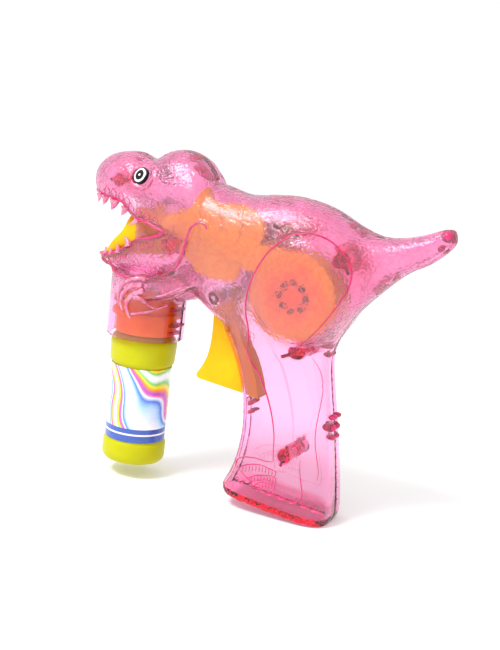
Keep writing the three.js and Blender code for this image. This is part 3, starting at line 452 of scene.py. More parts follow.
MOST_TRIANGLES = 185000
for name, side in (("left_shell", -1), ("right_shell", 1)):
    points, triangles, quads = surface_of(halves[side])
    points = np.array(points)
    points[:, 1] = np.where(points[:, 1] < 0.55, SEAM, points[:, 1])
    half = object_from(name + "_moulding", points, quads, side)
    at = [np.rint((points[:, k] / PITCH) - CORNER[k]).astype(int) for k in range(3)]
    skin = form[tuple(np.clip(at[k], 0, COUNT[k] - 1) for k in range(3))] > -0.9
    half.data.attributes.new("outer_skin", "FLOAT", "POINT").data.foreach_set(
        "value", skin.astype(np.float32))
    px, pz = points[:, 0], points[:, 2]
    near = np.min([np.hypot(px - x, pz - z) - 4.4 for x, z in POSTS.values()], 0)
    for key, (length, angle) in WEBS.items():
        c, s = math.cos(math.radians(angle)), math.sin(math.radians(angle))
        u, v = px - POSTS[key][0], pz - POSTS[key][1]
        near = np.minimum(near, np.maximum(np.abs(u * c + v * s) - length,
                                           np.abs(v * c - u * s) - 0.9))
    near = np.minimum(near, np.maximum(np.hypot(px + 46, pz - 139.6) - 6.2,
                                       np.abs(points[:, 1]) - 30))
    base_band = np.clip((9.5 - pz - (px - 28) * 0.115) / 2, 0, 1) * 0.5
    heavy_share = np.where(skin, 0, np.clip(0.5 - near / 0.6, 0, 1))
    half.data.attributes.new("heavy", "FLOAT", "POINT").data.foreach_set(
        "value", np.maximum(heavy_share, base_band).astype(np.float32))
    thinner = half.modifiers.new("thinner", "DECIMATE")
    thinner.ratio = min(1, MOST_TRIANGLES / (2 * len(quads)))
    made_real(half)
    half.data.set_sharp_from_angle(angle=math.radians(40))
    half.data.materials.append(pink)
    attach(half, "housing")
    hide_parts(name)

# ---- Raised lines, scales and folds ----
# Fine lines are cut into the mould, so they stand out as thin beads on the outer skin: the edge
# of the haunch, the leg, the foot with its scales, the lips and the ridge under the jaw.  On the
# left side, and on the lips and jaw ridge of both sides, the beads are a dark pink: painted shade
# that stands for the dark look of the cut lines.


HALF_WIDEST = 30


def on_skin(x, z):
    """Half depth of the outer skin at (x, z), in millimetres."""
    i = min(max(int(round(x / PITCH)) - CORNER[0], 0), COUNT[0] - 1)
    k = min(max(int(round(z / PITCH)) - CORNER[2], 0), COUNT[2] - 1)
    column = form[i, :, k]
    inside = np.nonzero(column < 0)[0]
    if len(inside) == 0:
        return 0.0
    j = inside[-1]
    if j + 1 >= COUNT[1]:
        return HALF_WIDEST
    return (j + CORNER[1] + column[j] / (column[j] - column[j + 1])) * PITCH


def opened_tree(name, inputs):
    """A Geometry Nodes tree with its named inputs, and its input node."""
    tree = bpy.data.node_groups.new(name, "GeometryNodeTree")
    face = tree.interface
    face.new_socket("Geometry", in_out="INPUT", socket_type="NodeSocketGeometry")
    for key, kind, value in inputs:
        socket = face.new_socket(key, in_out="INPUT", socket_type="NodeSocket" + kind)
        socket.default_value = value
    face.new_socket("Geometry", in_out="OUTPUT", socket_type="NodeSocketGeometry")
    return tree, tree.nodes.new("NodeGroupInput")


def closed_tree(tree, start, shape):
    """The tree with its shape smoothed, made real and given the Material input."""
    node, link = tree.nodes.new, tree.links.new
    for kind in ("SetShadeSmooth", "RealizeInstances", "SetMaterial"):
        step = node("GeometryNode" + kind)
        link(shape, step.inputs["Geometry"])
        shape = step.outputs[0]
    link(start.outputs["Material"], step.inputs["Material"])
    link(shape, node("NodeGroupOutput").inputs[0])
    return tree


def bead_tree(name, sides, material):
    """Geometry Nodes: every edge path of a mesh becomes a round bead of its own thickness."""
    tree, start = opened_tree(name, (("Sides", "Int", sides), ("Thickness", "Float", 1),
                                     ("Material", "Material", material)))
    node, link = tree.nodes.new, tree.links.new
    path, profile, tube = (node("GeometryNodeMeshToCurve"),
                           node("GeometryNodeCurvePrimitiveCircle"),
                           node("GeometryNodeCurveToMesh"))
    thickness, product = node("GeometryNodeInputNamedAttribute"), node("ShaderNodeMath")
    thickness.data_type = "FLOAT"
    thickness.inputs["Name"].default_value = "thickness"
    product.operation = "MULTIPLY"
    profile.inputs["Radius"].default_value = 1
    tube.inputs["Fill Caps"].default_value = True
    link(start.outputs["Geometry"], path.inputs["Mesh"])
    link(start.outputs["Sides"], profile.inputs["Resolution"])
    link(thickness.outputs["Attribute"], product.inputs[0])
    link(start.outputs["Thickness"], product.inputs[1])
    link(path.outputs["Curve"], tube.inputs["Curve"])
    link(profile.outputs["Curve"], tube.inputs["Profile Curve"])
    link(product.outputs[0], tube.inputs["Scale"])
    return closed_tree(tree, start, tube.outputs["Mesh"])


def settings_of(modifier, **values):
    """Set a tree's named inputs on its modifier."""
    for item in modifier.node_group.interface.items_tree:
        if item.in_out == "INPUT" and item.name in values:
            modifier[item.identifier] = values[item.name]


BEADS = bead_tree("beads", 6, painted_shade_pink)


def beads(name, runs, material, body="housing", sides=6):
    """One piece of beads along runs of (x, y, z, radius) in millimetres."""
    points, edges, thickness = [], [], []
    for run in runs:
        first = len(points)
        points += [tuple(v * MM for v in row[:3]) for row in run]
        thickness += [row[3] * MM for row in run]
        edges += [(first + k, first + k + 1) for k in range(len(run) - 1)]
    mesh = bpy.data.meshes.new(name)
    mesh.from_pydata(points, edges, [])
    mesh.attributes.new("thickness", "FLOAT", "POINT").data.foreach_set("value", thickness)
    piece = bpy.data.objects.new(name, mesh)
    bpy.context.scene.collection.objects.link(piece)
    modifier = piece.modifiers.new("beads", "NODES")
    modifier.node_group = BEADS
    settings_of(modifier, Sides=sides, Material=material)
    made_real(piece)
    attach(piece, body)
    return piece


def laid(points, radius, side, steps=5, sink=0.1, ends=0.5):
    """A smooth run over the outer skin through (x, z) points, thinner at its ends."""
    curve = curve_through(points, steps) if len(points) > 2 else np.array(points, float)
    share = np.linspace(0, 1, len(curve))
    taper = ends + (1 - ends) * np.minimum(1, np.minimum(share, 1 - share) * 6)
    return [(x, side * (on_skin(x, z) - sink), z, radius * t) for (x, z), t in zip(curve, taper)]


HAUNCH_EDGE = [
    (32.5, 96.2), (41.9, 105.9), (48.4, 114.3), (53.7, 123.9), (56.8, 132.6), (57.6, 140.4),
    (55.8, 146.6), (50, 152.8), (43.1, 157), (36, 158.9), (30.2, 158.4), (24.4, 156.6),
    (16, 149.4), (10.6, 141.3), (6.7, 132.4), (4.2, 123.7), (3.4, 115), (4.4, 106), (5.8, 99.5),
    (5.2, 93), (5.4, 88.4), (8.4, 83.2), (12.8, 78.2), (16.9, 70.6), (20.5, 62.3), (23.3, 53.9),
    (25.3, 45.3), (26, 38.2), (26.9, 31.6),
]
REAR_LEG = [
    (41.1, 92.3), (44.4, 87.2), (46.6, 81.1), (47.8, 74.2), (48.1, 67.5), (47.9, 60.7),
    (47.8, 54.6), (48.4, 47.7), (49.7, 41.7), (51.4, 35.8), (52.6, 30.7), (52.8, 26.8),
]
FOOT = [
    [(4.4, 23.4), (5, 27), (9.1, 29.7), (16.2, 31), (22, 30.8), (26.9, 31.3)],
    [(4.6, 24.2), (11.4, 20.5), (15.9, 18.1), (18.5, 15.3), (24, 15.6), (32, 13.8), (41.5, 12.6),
     (44.9, 13.7), (46.4, 17.3), (44.2, 24.6), (42.8, 30), (42, 36)],
    [(7, 22.4), (9, 24.6), (13, 26.6), (19.6, 28), (25.5, 27.3), (30.5, 26.4)],
    [(14.5, 19.6), (17.6, 21.6), (20.8, 22.6), (26.2, 23.6), (31, 23)],
    [(18, 15.6), (21, 18.6), (25.5, 19.6), (31, 19.2)],
]
SCALE_ROWS = [((9.6, 24.6), (29, 26.6), 11, 3), ((16, 20), (30, 22.8), 9, 3),
              ((19.5, 16.4), (30, 19), 7, 2.6)]
CLOSE_LINE = 0.24
for side, name in ((-1, "left"), (1, "right")):
    lines = [laid(HAUNCH_EDGE, 0.5, side, 6), laid(REAR_LEG, CLOSE_LINE, side)]
    lines += [laid(run, 0.32, side) for run in FOOT]
    for (x0, z0), (x1, z1), count, height in SCALE_ROWS:
        for t in np.linspace(0, 1, count):
            x, z = x0 + (x1 - x0) * t, z0 + (z1 - z0) * t + 1.6 * math.sin(math.pi * t)
            lines.append(laid([(x, z), (x + 0.5, z - height * 0.5), (x + 0.2, z - height)],
                              CLOSE_LINE, side, 3))
    # Left-side lines are in the dark pink of painted shade, and right-side lines are in the clear
    # pink.
    beads(name + "_leg_lines", lines, painted_shade_pink if side < 0 else pink)
    mouth_line = [(x, z) for x, z in curve_through(MOUTH[1:22], 4) if x > -98]
    beads(name + "_lips", [
        [(x, side * (on_skin(x, z) + 0.2), z, 0.85) for x, z in mouth_line if on_skin(x, z) > 2],
        [(x, side * (on_skin(x, z) + 0.45), z, 0.85 - 0.35 * t) for (x, z), t in zip(
            curve_through(JAW_RIDGE, 5), np.linspace(0, 1, (len(JAW_RIDGE) - 1) * 5 + 1))
         if on_skin(x, z) > 2]], painted_shade_pink, sides=8)

# ---- Teeth ----
# Small cones stand on the lips of both jaws, moulded with the halves, and a row of roots is
# drawn on each gum as lines shaped like the gable of a house, in dark pink: painted shade for the
# cut lines.
TEETH = [  # root x, z, depth; tip x, z, depth; radius
    ((-98.5, 159.6, 10), (-98.4, 154.6, 10.4), 1.5),
    ((-93.2, 158.6, 12.2), (-94.4, 153.6, 12), 2.2), ((-85.6, 158, 14.8), (-87.6, 152, 14.6), 3),
    ((-78.2, 155, 15.8), (-80.6, 150, 15.4), 2.4), ((-69, 149.6, 17.4), (-74.6, 145.8, 16.4), 1.8),
    ((-92, 125.6, 8.6), (-92.2, 130, 8.4), 1.5), ((-87.6, 126.4, 10.4), (-88, 130.4, 10.2), 1.5),
    ((-81.8, 128.4, 12.4), (-83.2, 133, 12), 1.8), ((-75, 133.2, 13.2), (-78.8, 138.6, 12.6), 2.3),
]
GUM_ROOTS = [(-91.6, 161.4), (-86.4, 160.8), (-81, 159.8), (-76.4, 157.8), (-73.6, 154.8),
             (-68, 152.8),
             (-62.4, 151.8), (-57, 150)]
JAW_ROOTS = [(-90.4, 124, 0), (-86, 124.4, 0), (-81, 126, 0), (-76, 129.6, -35),
             (-70.5, 133.8, -20),
             (-64.4, 136.4, -15), (-58.6, 138.6, -10)]
for side, name in ((-1, "left"), (1, "right")):
    cones = []
    for (x0, z0, y0), (x1, z1, y1), radius in TEETH:
        run = []
        for t in np.linspace(0, 1, 8):
            sweep = 0.5 * math.sin(math.pi * t)
            run.append((x0 + (x1 - x0) * t + sweep, side * (y0 + (y1 - y0) * t),
                        z0 + (z1 - z0) * t,
                        radius * (1 - t) ** 0.75 + 0.12))
        cones.append(run)
    beads(name + "_teeth", cones, milky, sides=14)
    roots = []
    for x, z in GUM_ROOTS:
        gable = [(x - 1.9, z - 1.6), (x - 2.1, z + 1.2), (x - 0.3, z + 3.6), (x + 1.7, z + 1.4),
                 (x + 1.5, z - 1.2)]
        roots.append([(a, side * (on_skin(a, b) - 0.02), b, 0.28) for a, b in gable])
    for x, z, lean in JAW_ROOTS:
        c, s = math.cos(math.radians(lean)), math.sin(math.radians(lean))
        for_gable = [(-1.9, 1.2), (-2, -1.4), (-0.2, -3), (1.8, -1.4), (1.9, 1.2)]
        roots.append([(x + a * c - b * s,
                       side * (on_skin(x + a * c - b * s, z + a * s + b * c) - 0.05),
                       z + a * s + b * c, 0.28) for a, b in for_gable])
    beads(name + "_tooth_roots", roots, painted_shade_pink)

# ---- Hands ----
# Each short arm is moulded with its half and ends in three thin fingers and a thumb, which
# hang over the collar and are ridged with scales.
FINGERS = [
    [(-57, 118.4), (-62.4, 118), (-67, 116.6), (-70.6, 114.2), (-73, 110.6), (-74.4, 106.4),
     (-74.2, 102.6)],
    [(-58, 115.6), (-64.6, 114), (-68.6, 110.8), (-71.4, 106.6), (-72.3, 102.6), (-70.6, 98.6)],
    [(-56.6, 113), (-62, 110.2), (-66, 106.6), (-68.2, 102.4), (-67.4, 98.8), (-65.2, 95.2)],
]
THUMB = [(-63, 107), (-60.4, 108.4), (-57.6, 107), (-55.4, 104.2), (-51.6, 103)]
PALM = [(-65, 97.6), (-60, 99), (-55.6, 100.4), (-51, 102.6), (-46.6, 105)]
CREASES = [[(-49.5, 110.7), (-46.1, 111.8), (-39.8, 115.3), (-33.5, 119)],
           [(-52, 107), (-47, 108.6), (-41, 111.6), (-34, 116)]]
for side, name in ((-1, "left"), (1, "right")):
    lines = []
    for k, run in enumerate(FINGERS):
        curve = curve_through(run, 6)
        share = np.linspace(0, 1, len(curve))
        lines.append([(x, side * (max(on_skin(x, z), 20.6) + 0.3), z,
                       (1.5 + 0.16 * math.sin(40 * t)) * min(1, 1.1 - t) ** 0.6 + 0.1)
                      for (x, z), t in zip(curve, share)])
    curve = curve_through(THUMB, 6)
    lines.append([(x, side * (max(on_skin(x, z), 20.4) + 0.4), z,
                   1.9 * (1 - 0.8 * t) * min(1, 0.4 + 5 * t))
                  for (x, z), t in zip(curve, np.linspace(0, 1, len(curve)))])
    lines.append([(x, side * max(on_skin(x, z), 15), z, 0.75) for x, z in curve_through(PALM, 4)])
    lines += [laid(run, 0.6, side) for run in CREASES]
    beads(name + "_fingers", lines, milky, sides=10)

# ---- Seam pegs ----
# Oval pegs, singly or in twos and threes, stand inside both walls along the seam.  They are
# moulded with the halves and end 0.3 mm short of the seam.  Their dark pink is partly the deeper
# pink of thick plastic and partly painted shade.
PEG_MIDDLE, PEG_HALF = 3.2, 2.9
PEG_PLACES = [  # x, z, long half, short half, degrees
    (45.8, 104.8, 2.6, 1.5, 8), (44, 99, 4, 2.2, 0), (45.6, 93.6, 2.6, 1.5, -4),
    (53, 59.7, 2.8, 1.6, 10), (52, 53.8, 4, 2.4, 2), (53.6, 48.6, 2.8, 1.6, -6),
    (4.6, 57.6, 3.4, 1.4, 24), (5.2, 52.6, 3.2, 1.1, 18),
    (68, 133.4, 2.6, 1.6, 44), (71.2, 137.2, 3.4, 2.4, 38), (77, 141.6, 2.6, 1.4, 36),
    (50, 163.4, 2.6, 1.4, -28), (56, 160.6, 2.8, 1.5, -24), (101, 166.6, 3, 3, 0),
    (98.6, 160.4, 2, 1.3, 30), (-45, 185.6, 3.6, 1.4, -8), (-41.4, 180.8, 3.6, 1.8, -14),
    (-37, 177.4, 4.6, 2, -20), (-78.9, 180.6, 2.2, 0.9, 0), (4.5, 170.6, 2.6, 1.1, 10),
    (11.6, 171.6, 2.4, 1.1, 6), (-48.6, 100.4, 4, 1.2, 4), (-47.4, 91.2, 4, 1.2, 8),
    (-50, 86.2, 3.6, 1.5, 10), (-85, 101.8, 3.2, 2.2, 0),
]


def peg_tree(material):
    """Geometry Nodes: an oval peg stands along Y on every point of a mesh."""
    tree, start = opened_tree("seam_pegs", (("Half length", "Float", 0.005),
                                            ("Material", "Material", material)))
    node, link = tree.nodes.new, tree.links.new
    ball, size = node("GeometryNodeMeshUVSphere"), node("ShaderNodeCombineXYZ")
    ovals, turns, turn = (node("GeometryNodeInputNamedAttribute"),
                          node("GeometryNodeInputNamedAttribute"),
                          node("ShaderNodeCombineXYZ"))
    oval, placed = node("ShaderNodeSeparateXYZ"), node("GeometryNodeInstanceOnPoints")
    ball.inputs["Segments"].default_value = 20
    ball.inputs["Rings"].default_value = 10
    ball.inputs["Radius"].default_value = 1
    ovals.data_type = "FLOAT_VECTOR"
    ovals.inputs["Name"].default_value = "oval"
    turns.data_type = "FLOAT"
    turns.inputs["Name"].default_value = "turn"
    link(ovals.outputs["Attribute"], oval.inputs[0])
    link(oval.outputs[0], size.inputs[0])
    link(start.outputs["Half length"], size.inputs[1])
    link(oval.outputs[2], size.inputs[2])
    link(turns.outputs["Attribute"], turn.inputs[1])
    link(start.outputs["Geometry"], placed.inputs["Points"])
    link(ball.outputs["Mesh"], placed.inputs["Instance"])
    link(turn.outputs[0], placed.inputs["Rotation"])
    link(size.outputs[0], placed.inputs["Scale"])
    return closed_tree(tree, start, placed.outputs[0])


for side, name in ((-1, "left"), (1, "right")):
    mesh = bpy.data.meshes.new(name + "_seam_pegs")
    mesh.from_pydata([(x * MM, side * PEG_MIDDLE * MM, z * MM) for x, z, *_ in PEG_PLACES], [], [])
    mesh.attributes.new("oval", "FLOAT_VECTOR", "POINT").data.foreach_set(
        "vector", [v * MM for row in PEG_PLACES for v in (row[2], 0, row[3])])
    mesh.attributes.new("turn", "FLOAT", "POINT").data.foreach_set(
        "value", [-math.radians(row[4]) for row in PEG_PLACES])
    pegs = bpy.data.objects.new(name + "_seam_pegs", mesh)
    bpy.context.scene.collection.objects.link(pegs)
    modifier = pegs.modifiers.new("pegs", "NODES")
    # The pegs take the dark pink of painted shade.
    modifier.node_group = peg_tree(painted_shade_pink)
    settings_of(modifier, **{"Half length": PEG_HALF * MM, "Material": painted_shade_pink})
    made_real(pegs)
    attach(pegs, "housing")

# ---- Eyes ----
# A printed disc is glued into a shallow seat on each side: black rim, white ring, black pupil
# with a white glint.


def turned(name, profile, centre=(0, 0, 0), axis=(0, 0, 1), segments=72):
    """A closed piece turned from (radius, height) points about an axis, in millimetres."""
    profile = np.array(profile, float)
    angles = np.linspace(0, 2 * np.pi, segments, endpoint=False)
    ring = np.stack([np.cos(angles), np.sin(angles)], 1)
    points = [[(r * c, r * s, h) for c, s in ring] for r, h in profile]
    count = len(profile)
    faces = []
    for p in range(count):
        q = (p + 1) % count
        for i in range(segments):
            k = (i + 1) % segments
            faces.append((p * segments + i, p * segments + k, q * segments + k, q * segments + i))
    mesh = bpy.data.meshes.new(name)
    mesh.from_pydata((np.array(points).reshape(-1, 3) * MM).tolist(), [], faces)
    work = bmesh.new()
    work.from_mesh(mesh)
    bmesh.ops.remove_doubles(work, verts=work.verts, dist=1e-6)
    bmesh.ops.recalc_face_normals(work, faces=work.faces)
    work.to_mesh(mesh)
    work.free()
    turn = Vector(axis).to_track_quat("Z", "Y").to_matrix().to_4x4()
    mesh.transform(Matrix.Translation(Vector(centre) * MM) @ turn)
    mesh.polygons.foreach_set("use_smooth", [True] * len(mesh.polygons))
    mesh.set_sharp_from_angle(angle=math.radians(38))
    piece = bpy.data.objects.new(name, mesh)
    bpy.context.scene.collection.objects.link(piece)
    return piece


EYE_R = 4.95
EYE_RINGS = [(0, (0.93, 0.93, 0.92)), (0.18, (0.004, 0.004, 0.005)), (0.62, (0.93, 0.93, 0.92)),
             (0.84, (0.004, 0.004, 0.005))]
for side, name in ((-1, "left_eye"), (1, "right_eye")):
    normal = (EYE_NORMAL.x, side * EYE_NORMAL.y, EYE_NORMAL.z)
    centre = (EYE[0], side * EYE[1], EYE[2])
    dome = [(0, -1.7), (EYE_R, -1.7)]
    dome += [(EYE_R * math.cos(a), -0.4 + 1.1 * math.sin(a)) for a in np.linspace(0.0, math.pi / 2,
                                                                                  12)]
    eye = turned(name + "_disc", dome, centre, normal, 64)
    ink, shader, place = new_material(name + "_print", (1, 1, 1), 0.3, Specular_IOR_Level=0.25)
    middle = Vector(centre) * MM + Vector(normal).normalized() * 0.3 * MM
    reach = place.node("ShaderNodeVectorMath", {0: place, 1: tuple(middle)}, 1,
                       operation="DISTANCE")
    wobble = place.noise(0.0016) * 0.00022
    share = (reach + wobble) * (1 / (EYE_R * MM))
    rings = share.node("ShaderNodeValToRGB", {0: share}, stops=EYE_RINGS)
    rings.socket.node.color_ramp.interpolation = "CONSTANT"
    connect(rings, shader["Base Color"])
    bumped(place.noise(0.0007), 0.00003, 0.5, shader)
    eye.data.materials.append(ink)
    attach(eye, "housing")
    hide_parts(name)

# ---- Works: gears, fan, pump and trigger ----
# Opaque mouldings in yellow, amber and orange, with white nylon gears on steel pins.  They keep
# their shapes from the frame, and all but the duct and the tube get small rounded edges.


def plastic(name, colour, deeper, roughness=0.35, grain=0.0006, **constants):
    """An opaque moulded plastic: flow marks, fine orange peel and handling haze."""
    material, shader, place = new_material(name, colour, roughness, **constants)
    flow = place.noise(0.02, 3, 1.5).between(0.3, 0.75)
    tint = place.node("ShaderNodeRGB")
    tint.socket.default_value = (*colour, 1)
    connect(tint.blend(flow, (*deeper, 1)), shader["Base Color"])
    connect(place.noise(0.006, 4) * 0.22 + (roughness - 0.1), shader["Roughness"])
    bumped(place.noise(grain, 2), grain * 0.12, 0.5, shader)
    return material


yellow = plastic("yellow_plastic", (0.86, 0.47, 0.0), (0.8, 0.4, 0.0), 0.42,
                 Specular_IOR_Level=0.18)
# A lighter copy of the yellow for the works inside the pink shell: painted light, to make up for
# the shade inside the shell.
inner = plastic("yellow_plastic_painted_lighter", (1, 0.7, 0.0), (0.98, 0.6, 0.0), 0.5,
                Specular_IOR_Level=0.1)
orange = plastic("orange_plastic", (0.98, 0.29, 0.0), (0.92, 0.22, 0.0), 0.45,
                 Specular_IOR_Level=0.2)
amber, shader, place = new_material("amber_plastic", (0.85, 0.35, 0), 0.45, Specular_IOR_Level=0.2)
from_shaft = place.node("ShaderNodeVectorMath", {0: place, 1: (0.026, -0.014, 0.123)}, 1,
                        operation="DISTANCE")
mottle = (place.noise(0.006, 3, 1.0) - 0.5) * 0.016
# Deeper orange round the fan shaft, turning yellow towards the rim.
shaft_to_rim_tone = from_shaft.node("ShaderNodeValToRGB", {0: (from_shaft + mottle) * 38}, stops=[
    (0, (1, 0.2, 0.01)), (0.3, (0.97, 0.24, 0.01)), (0.62, (1, 0.42, 0.004)), (1, (1, 0.66, 0.0))])
connect(shaft_to_rim_tone, shader["Base Color"])
connect(place.noise(0.006, 4) * 0.22 + 0.33, shader["Roughness"])
bumped(place.noise(0.0008, 2), 0.0001, 0.5, shader)
nylon = plastic("white_nylon", (0.86, 0.85, 0.8), (0.78, 0.77, 0.71), 0.42, 0.0009)
silicone = plastic("milky_silicone", (0.82, 0.8, 0.74), (0.74, 0.72, 0.66), 0.4, 0.0008)
lime = plastic("lime_plastic", (0.5, 0.49, 0.0), (0.46, 0.44, 0.0), 0.38, 0.0012,
               Specular_IOR_Level=0.2)

steel, shader, place = new_material("bright_steel", (0.62, 0.63, 0.65), 0.28, Metallic=1)
drawn = place.node("ShaderNodeMapping", {"Vector": place, "Scale": (1, 0.08, 1)})
connect(drawn.noise(0.0003, 3) * 0.25 + 0.18, shader["Roughness"])
bumped(drawn.noise(0.0003, 3), 0.00004, 0.4, shader)


def softened(node, material, body, slot, width=0.3, crisp=34):
    """A copy of the frame's node with small rounded edges, which stands for that node."""
    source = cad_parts[node]
    mesh = source.data.copy()
    mesh.transform(source.matrix_world)
    work = bmesh.new()
    work.from_mesh(mesh)
    bmesh.ops.remove_doubles(work, verts=work.verts, dist=1e-6)
    bmesh.ops.dissolve_limit(work, angle_limit=math.radians(0.6), verts=work.verts,
                             edges=work.edges)
    if width:
        edges = [e for e in work.edges
                 if e.is_manifold and e.calc_face_angle(0) > math.radians(crisp)]
        bmesh.ops.bevel(work, geom=edges, offset=width * MM, segments=2, profile=0.6,
                        affect="EDGES",
                        clamp_overlap=True)
    bmesh.ops.triangulate(work, faces=[f for f in work.faces if len(f.verts) > 4])
    work.to_mesh(mesh)
    work.free()
    mesh.materials.clear()
    mesh.materials.append(material)
    mesh.polygons.foreach_set("use_smooth", [True] * len(mesh.polygons))
    mesh.set_sharp_from_angle(angle=math.radians(crisp))
    piece = bpy.data.objects.new(node + "_moulding", mesh)
    bpy.context.scene.collection.objects.link(piece)
    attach(piece, body)
    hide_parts(node)
    return piece


for node, material, body, slot, width in (
    ("trigger", yellow, "trigger", "yellow_plastic", 0.7),
    ("gearbox_inner_plate", inner, "housing", "yellow_plastic", 0.2),
    ("gearbox_outer_plate", inner, "housing", "yellow_plastic", 0.2),
    ("gear_one", nylon, "gear_one", "white_plastic", 0.1),
    ("gear_two", nylon, "gear_two", "white_plastic", 0.1),
    ("fan_pinion", nylon, "fan", "white_plastic", 0.1),
    ("pump_gear", nylon, "pump", "white_plastic", 0.1),
    ("impeller", orange, "fan", "white_plastic", 0.15),
    ("fan_housing_left", amber, "housing", "orange_plastic", 0.4),
    ("fan_housing_right", amber, "housing", "orange_plastic", 0.3),
    ("air_duct", inner, "housing", "yellow_plastic", 0),
    ("bubble_ring", orange, "housing", "orange_plastic", 0.2),
    ("film_wiper", nylon, "wiper", "white_plastic", 0.2),
    ("pump_rotor", nylon, "pump", "white_plastic", 0.2),
    ("pump_track", inner, "housing", "yellow_plastic", 0.2),
    ("gear_one_axle", steel, "housing", "steel", 0.2),
    ("gear_two_axle", steel, "housing", "steel", 0.2),
    ("pump_axle", steel, "housing", "steel", 0.2),
    ("fan_shaft", steel, "fan", "steel", 0.2),
    ("trigger_pin", steel, "housing", "steel", 0.3),
    ("pump_roller_1", steel, "pump", "steel", 0.15),
    ("pump_roller_2", steel, "pump", "steel", 0.15),
    ("pump_roller_3", steel, "pump", "steel", 0.15),
    ("feed_tube", silicone, "housing", "silicone", 0),
    ("sealing_washer", silicone, "housing", "silicone", 0.2),
):
    softened(node, material, body, slot, width)

# ---- Gearbox cover and scoop ----
# A yellow cover with three ribs stands between the gearbox and the left wall.  The nozzle's
# scoop is one curved sheet that catches drips below and in front of the barrel.


def plate_of(name, outline, low, high, round_off, material):
    """A flat plate with an outline in XZ between two depths, its edges rounded."""
    run = curve_through(outline + outline[:1], 4)[:-1]
    work = bmesh.new()
    corners = [work.verts.new((x * MM, low * MM, z * MM)) for x, z in run]
    face = work.faces.new(corners)
    made = bmesh.ops.extrude_face_region(work, geom=[face])
    bmesh.ops.translate(work, verts=[v for v in made["geom"] if isinstance(v, bmesh.types.BMVert)],
                        vec=(0, (high - low) * MM, 0))
    bmesh.ops.recalc_face_normals(work, faces=work.faces)
    edges = [e for e in work.edges if e.calc_face_angle(0) > 1.2]
    bmesh.ops.bevel(work, geom=edges, offset=round_off * MM, segments=3, profile=0.5,
                    affect="EDGES")
    mesh = bpy.data.meshes.new(name)
    work.to_mesh(mesh)
    work.free()
    mesh.materials.append(material)
    mesh.polygons.foreach_set("use_smooth", [True] * len(mesh.polygons))
    mesh.set_sharp_from_angle(angle=math.radians(40))
    piece = bpy.data.objects.new(name, mesh)
    bpy.context.scene.collection.objects.link(piece)
    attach(piece, "housing")
    return piece


plate_of("gearbox_cover", [
    (-49, 146), (-46, 156), (-40, 161), (-36, 169), (-31, 172), (-27, 166), (-20, 165), (-9, 166),
    (2, 161), (5, 152), (0, 143), (-6, 137), (-8, 128), (-12, 124), (-24, 124), (-32, 126),
    (-38, 131), (-45, 137)], -12.6, -8.4, 1.4, inner)
for k, (x, z) in enumerate(((-34, 150), (-22, 152), (-10, 152))):
    plate_of("gearbox_cover_rib_%d" % k, [
        (x - 0.8, z - 12), (x + 0.8, z - 12), (x + 1.4, z), (x + 0.8, z + 10), (x - 0.8, z + 10),
        (x - 1.4, z)],
        -14, -12.2, 0.4, inner)

ACROSS = 33
sheet = []
for x, middle, radius, top in ((-64, 141, 12.4, 151), (-70, 141, 12.8, 151),
                               (-77.4, 140.6, 12.9, 150),
                               (-78.4, 140.2, 12.8, 148.4), (-79.2, 139.6, 12.7, 142.7),
                               (-82.3, 137.4, 12.2, 138.9), (-85.4, 135.4, 11.6, 136.2),
                               (-88, 133.6, 10.8, 132.3), (-91, 131.4, 9.6, 128.6),
                               (-94, 129.2, 7.8, 125.4),
                               (-97, 127, 5, 123)):
    reach = math.acos(max(-1, min(1, (middle - top) / radius)))
    sheet.append([(x, radius * math.sin(reach * u), middle - radius * math.cos(reach * u))
                  for u in np.linspace(-1, 1, ACROSS)])
flat = [point for row in sheet for point in row]
faces = [(r * ACROSS + k, r * ACROSS + k + 1, (r + 1) * ACROSS + k + 1, (r + 1) * ACROSS + k)
         for r in range(len(sheet) - 1) for k in range(ACROSS - 1)]
scoop = object_from("nozzle_scoop", flat, faces)
thick = scoop.modifiers.new("thickness", "SOLIDIFY")
thick.thickness, thick.offset = 0.9 * MM, 0
smooth = scoop.modifiers.new("smooth", "SUBSURF")
smooth.levels = smooth.render_levels = 1
made_real(scoop)
scoop.data.materials.append(yellow)
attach(scoop, "housing")
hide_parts("drip_tray")

# ---- Trigger spring ----
# A torsion spring of 0.7 mm steel wire is wound round the left pin post, and one short leg
# stands up from its outer end.
coil = []
for t in np.linspace(0, 1, 120):
    angle = 2 * math.pi * 4.5 * t
    coil.append((PIN[0] + 4.6 * math.cos(angle), -12.2 + 3.8 * t, PIN[1] + 4.6 * math.sin(angle),
                 0.35))
legs = [[(PIN[0] + 4.6, -12.2, PIN[1], 0.35), (PIN[0] + 5.2, -12.2, PIN[1] + 5.5, 0.35)]]
spring = beads("trigger_spring_coil", [coil, *legs], steel, sides=8)
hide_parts("trigger_spring")

# ---- Bubble nozzle ----
# The yellow nozzle is a short open barrel with a rolled front edge, two raised bands round it
# and a nipple on top for the feed tube.
NOZZLE_Z = 141.5
barrel = turned("nozzle_barrel_moulding", [
    (11.6, -77.4), (12, -77.9), (12.3, -77.4), (12.3, -76.4), (12.2, -75.4), (12.2, -72.6),
    (13, -72.2), (13, -71.4), (12.6, -71), (12.6, -68.6), (12.9, -68.2), (12.9, -67.4),
    (12.6, -67), (12.5, -58), (11.1, -58), (11.1, -74), (11.3, -76.6),
], (0, 0, NOZZLE_Z), (1, 0, 0), 72)
nipple = turned("nozzle_nipple", [
    (1.1, 0), (2.5, 0), (2.4, 2.8), (2.9, 3), (2.2, 4.4), (1.1, 4.5),
], (-63.5, 0, NOZZLE_Z + 11.6), (0, 0, 1), 32)
for piece in (barrel, nipple):
    piece.data.materials.append(yellow)
    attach(piece, "housing")
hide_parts("nozzle_barrel")

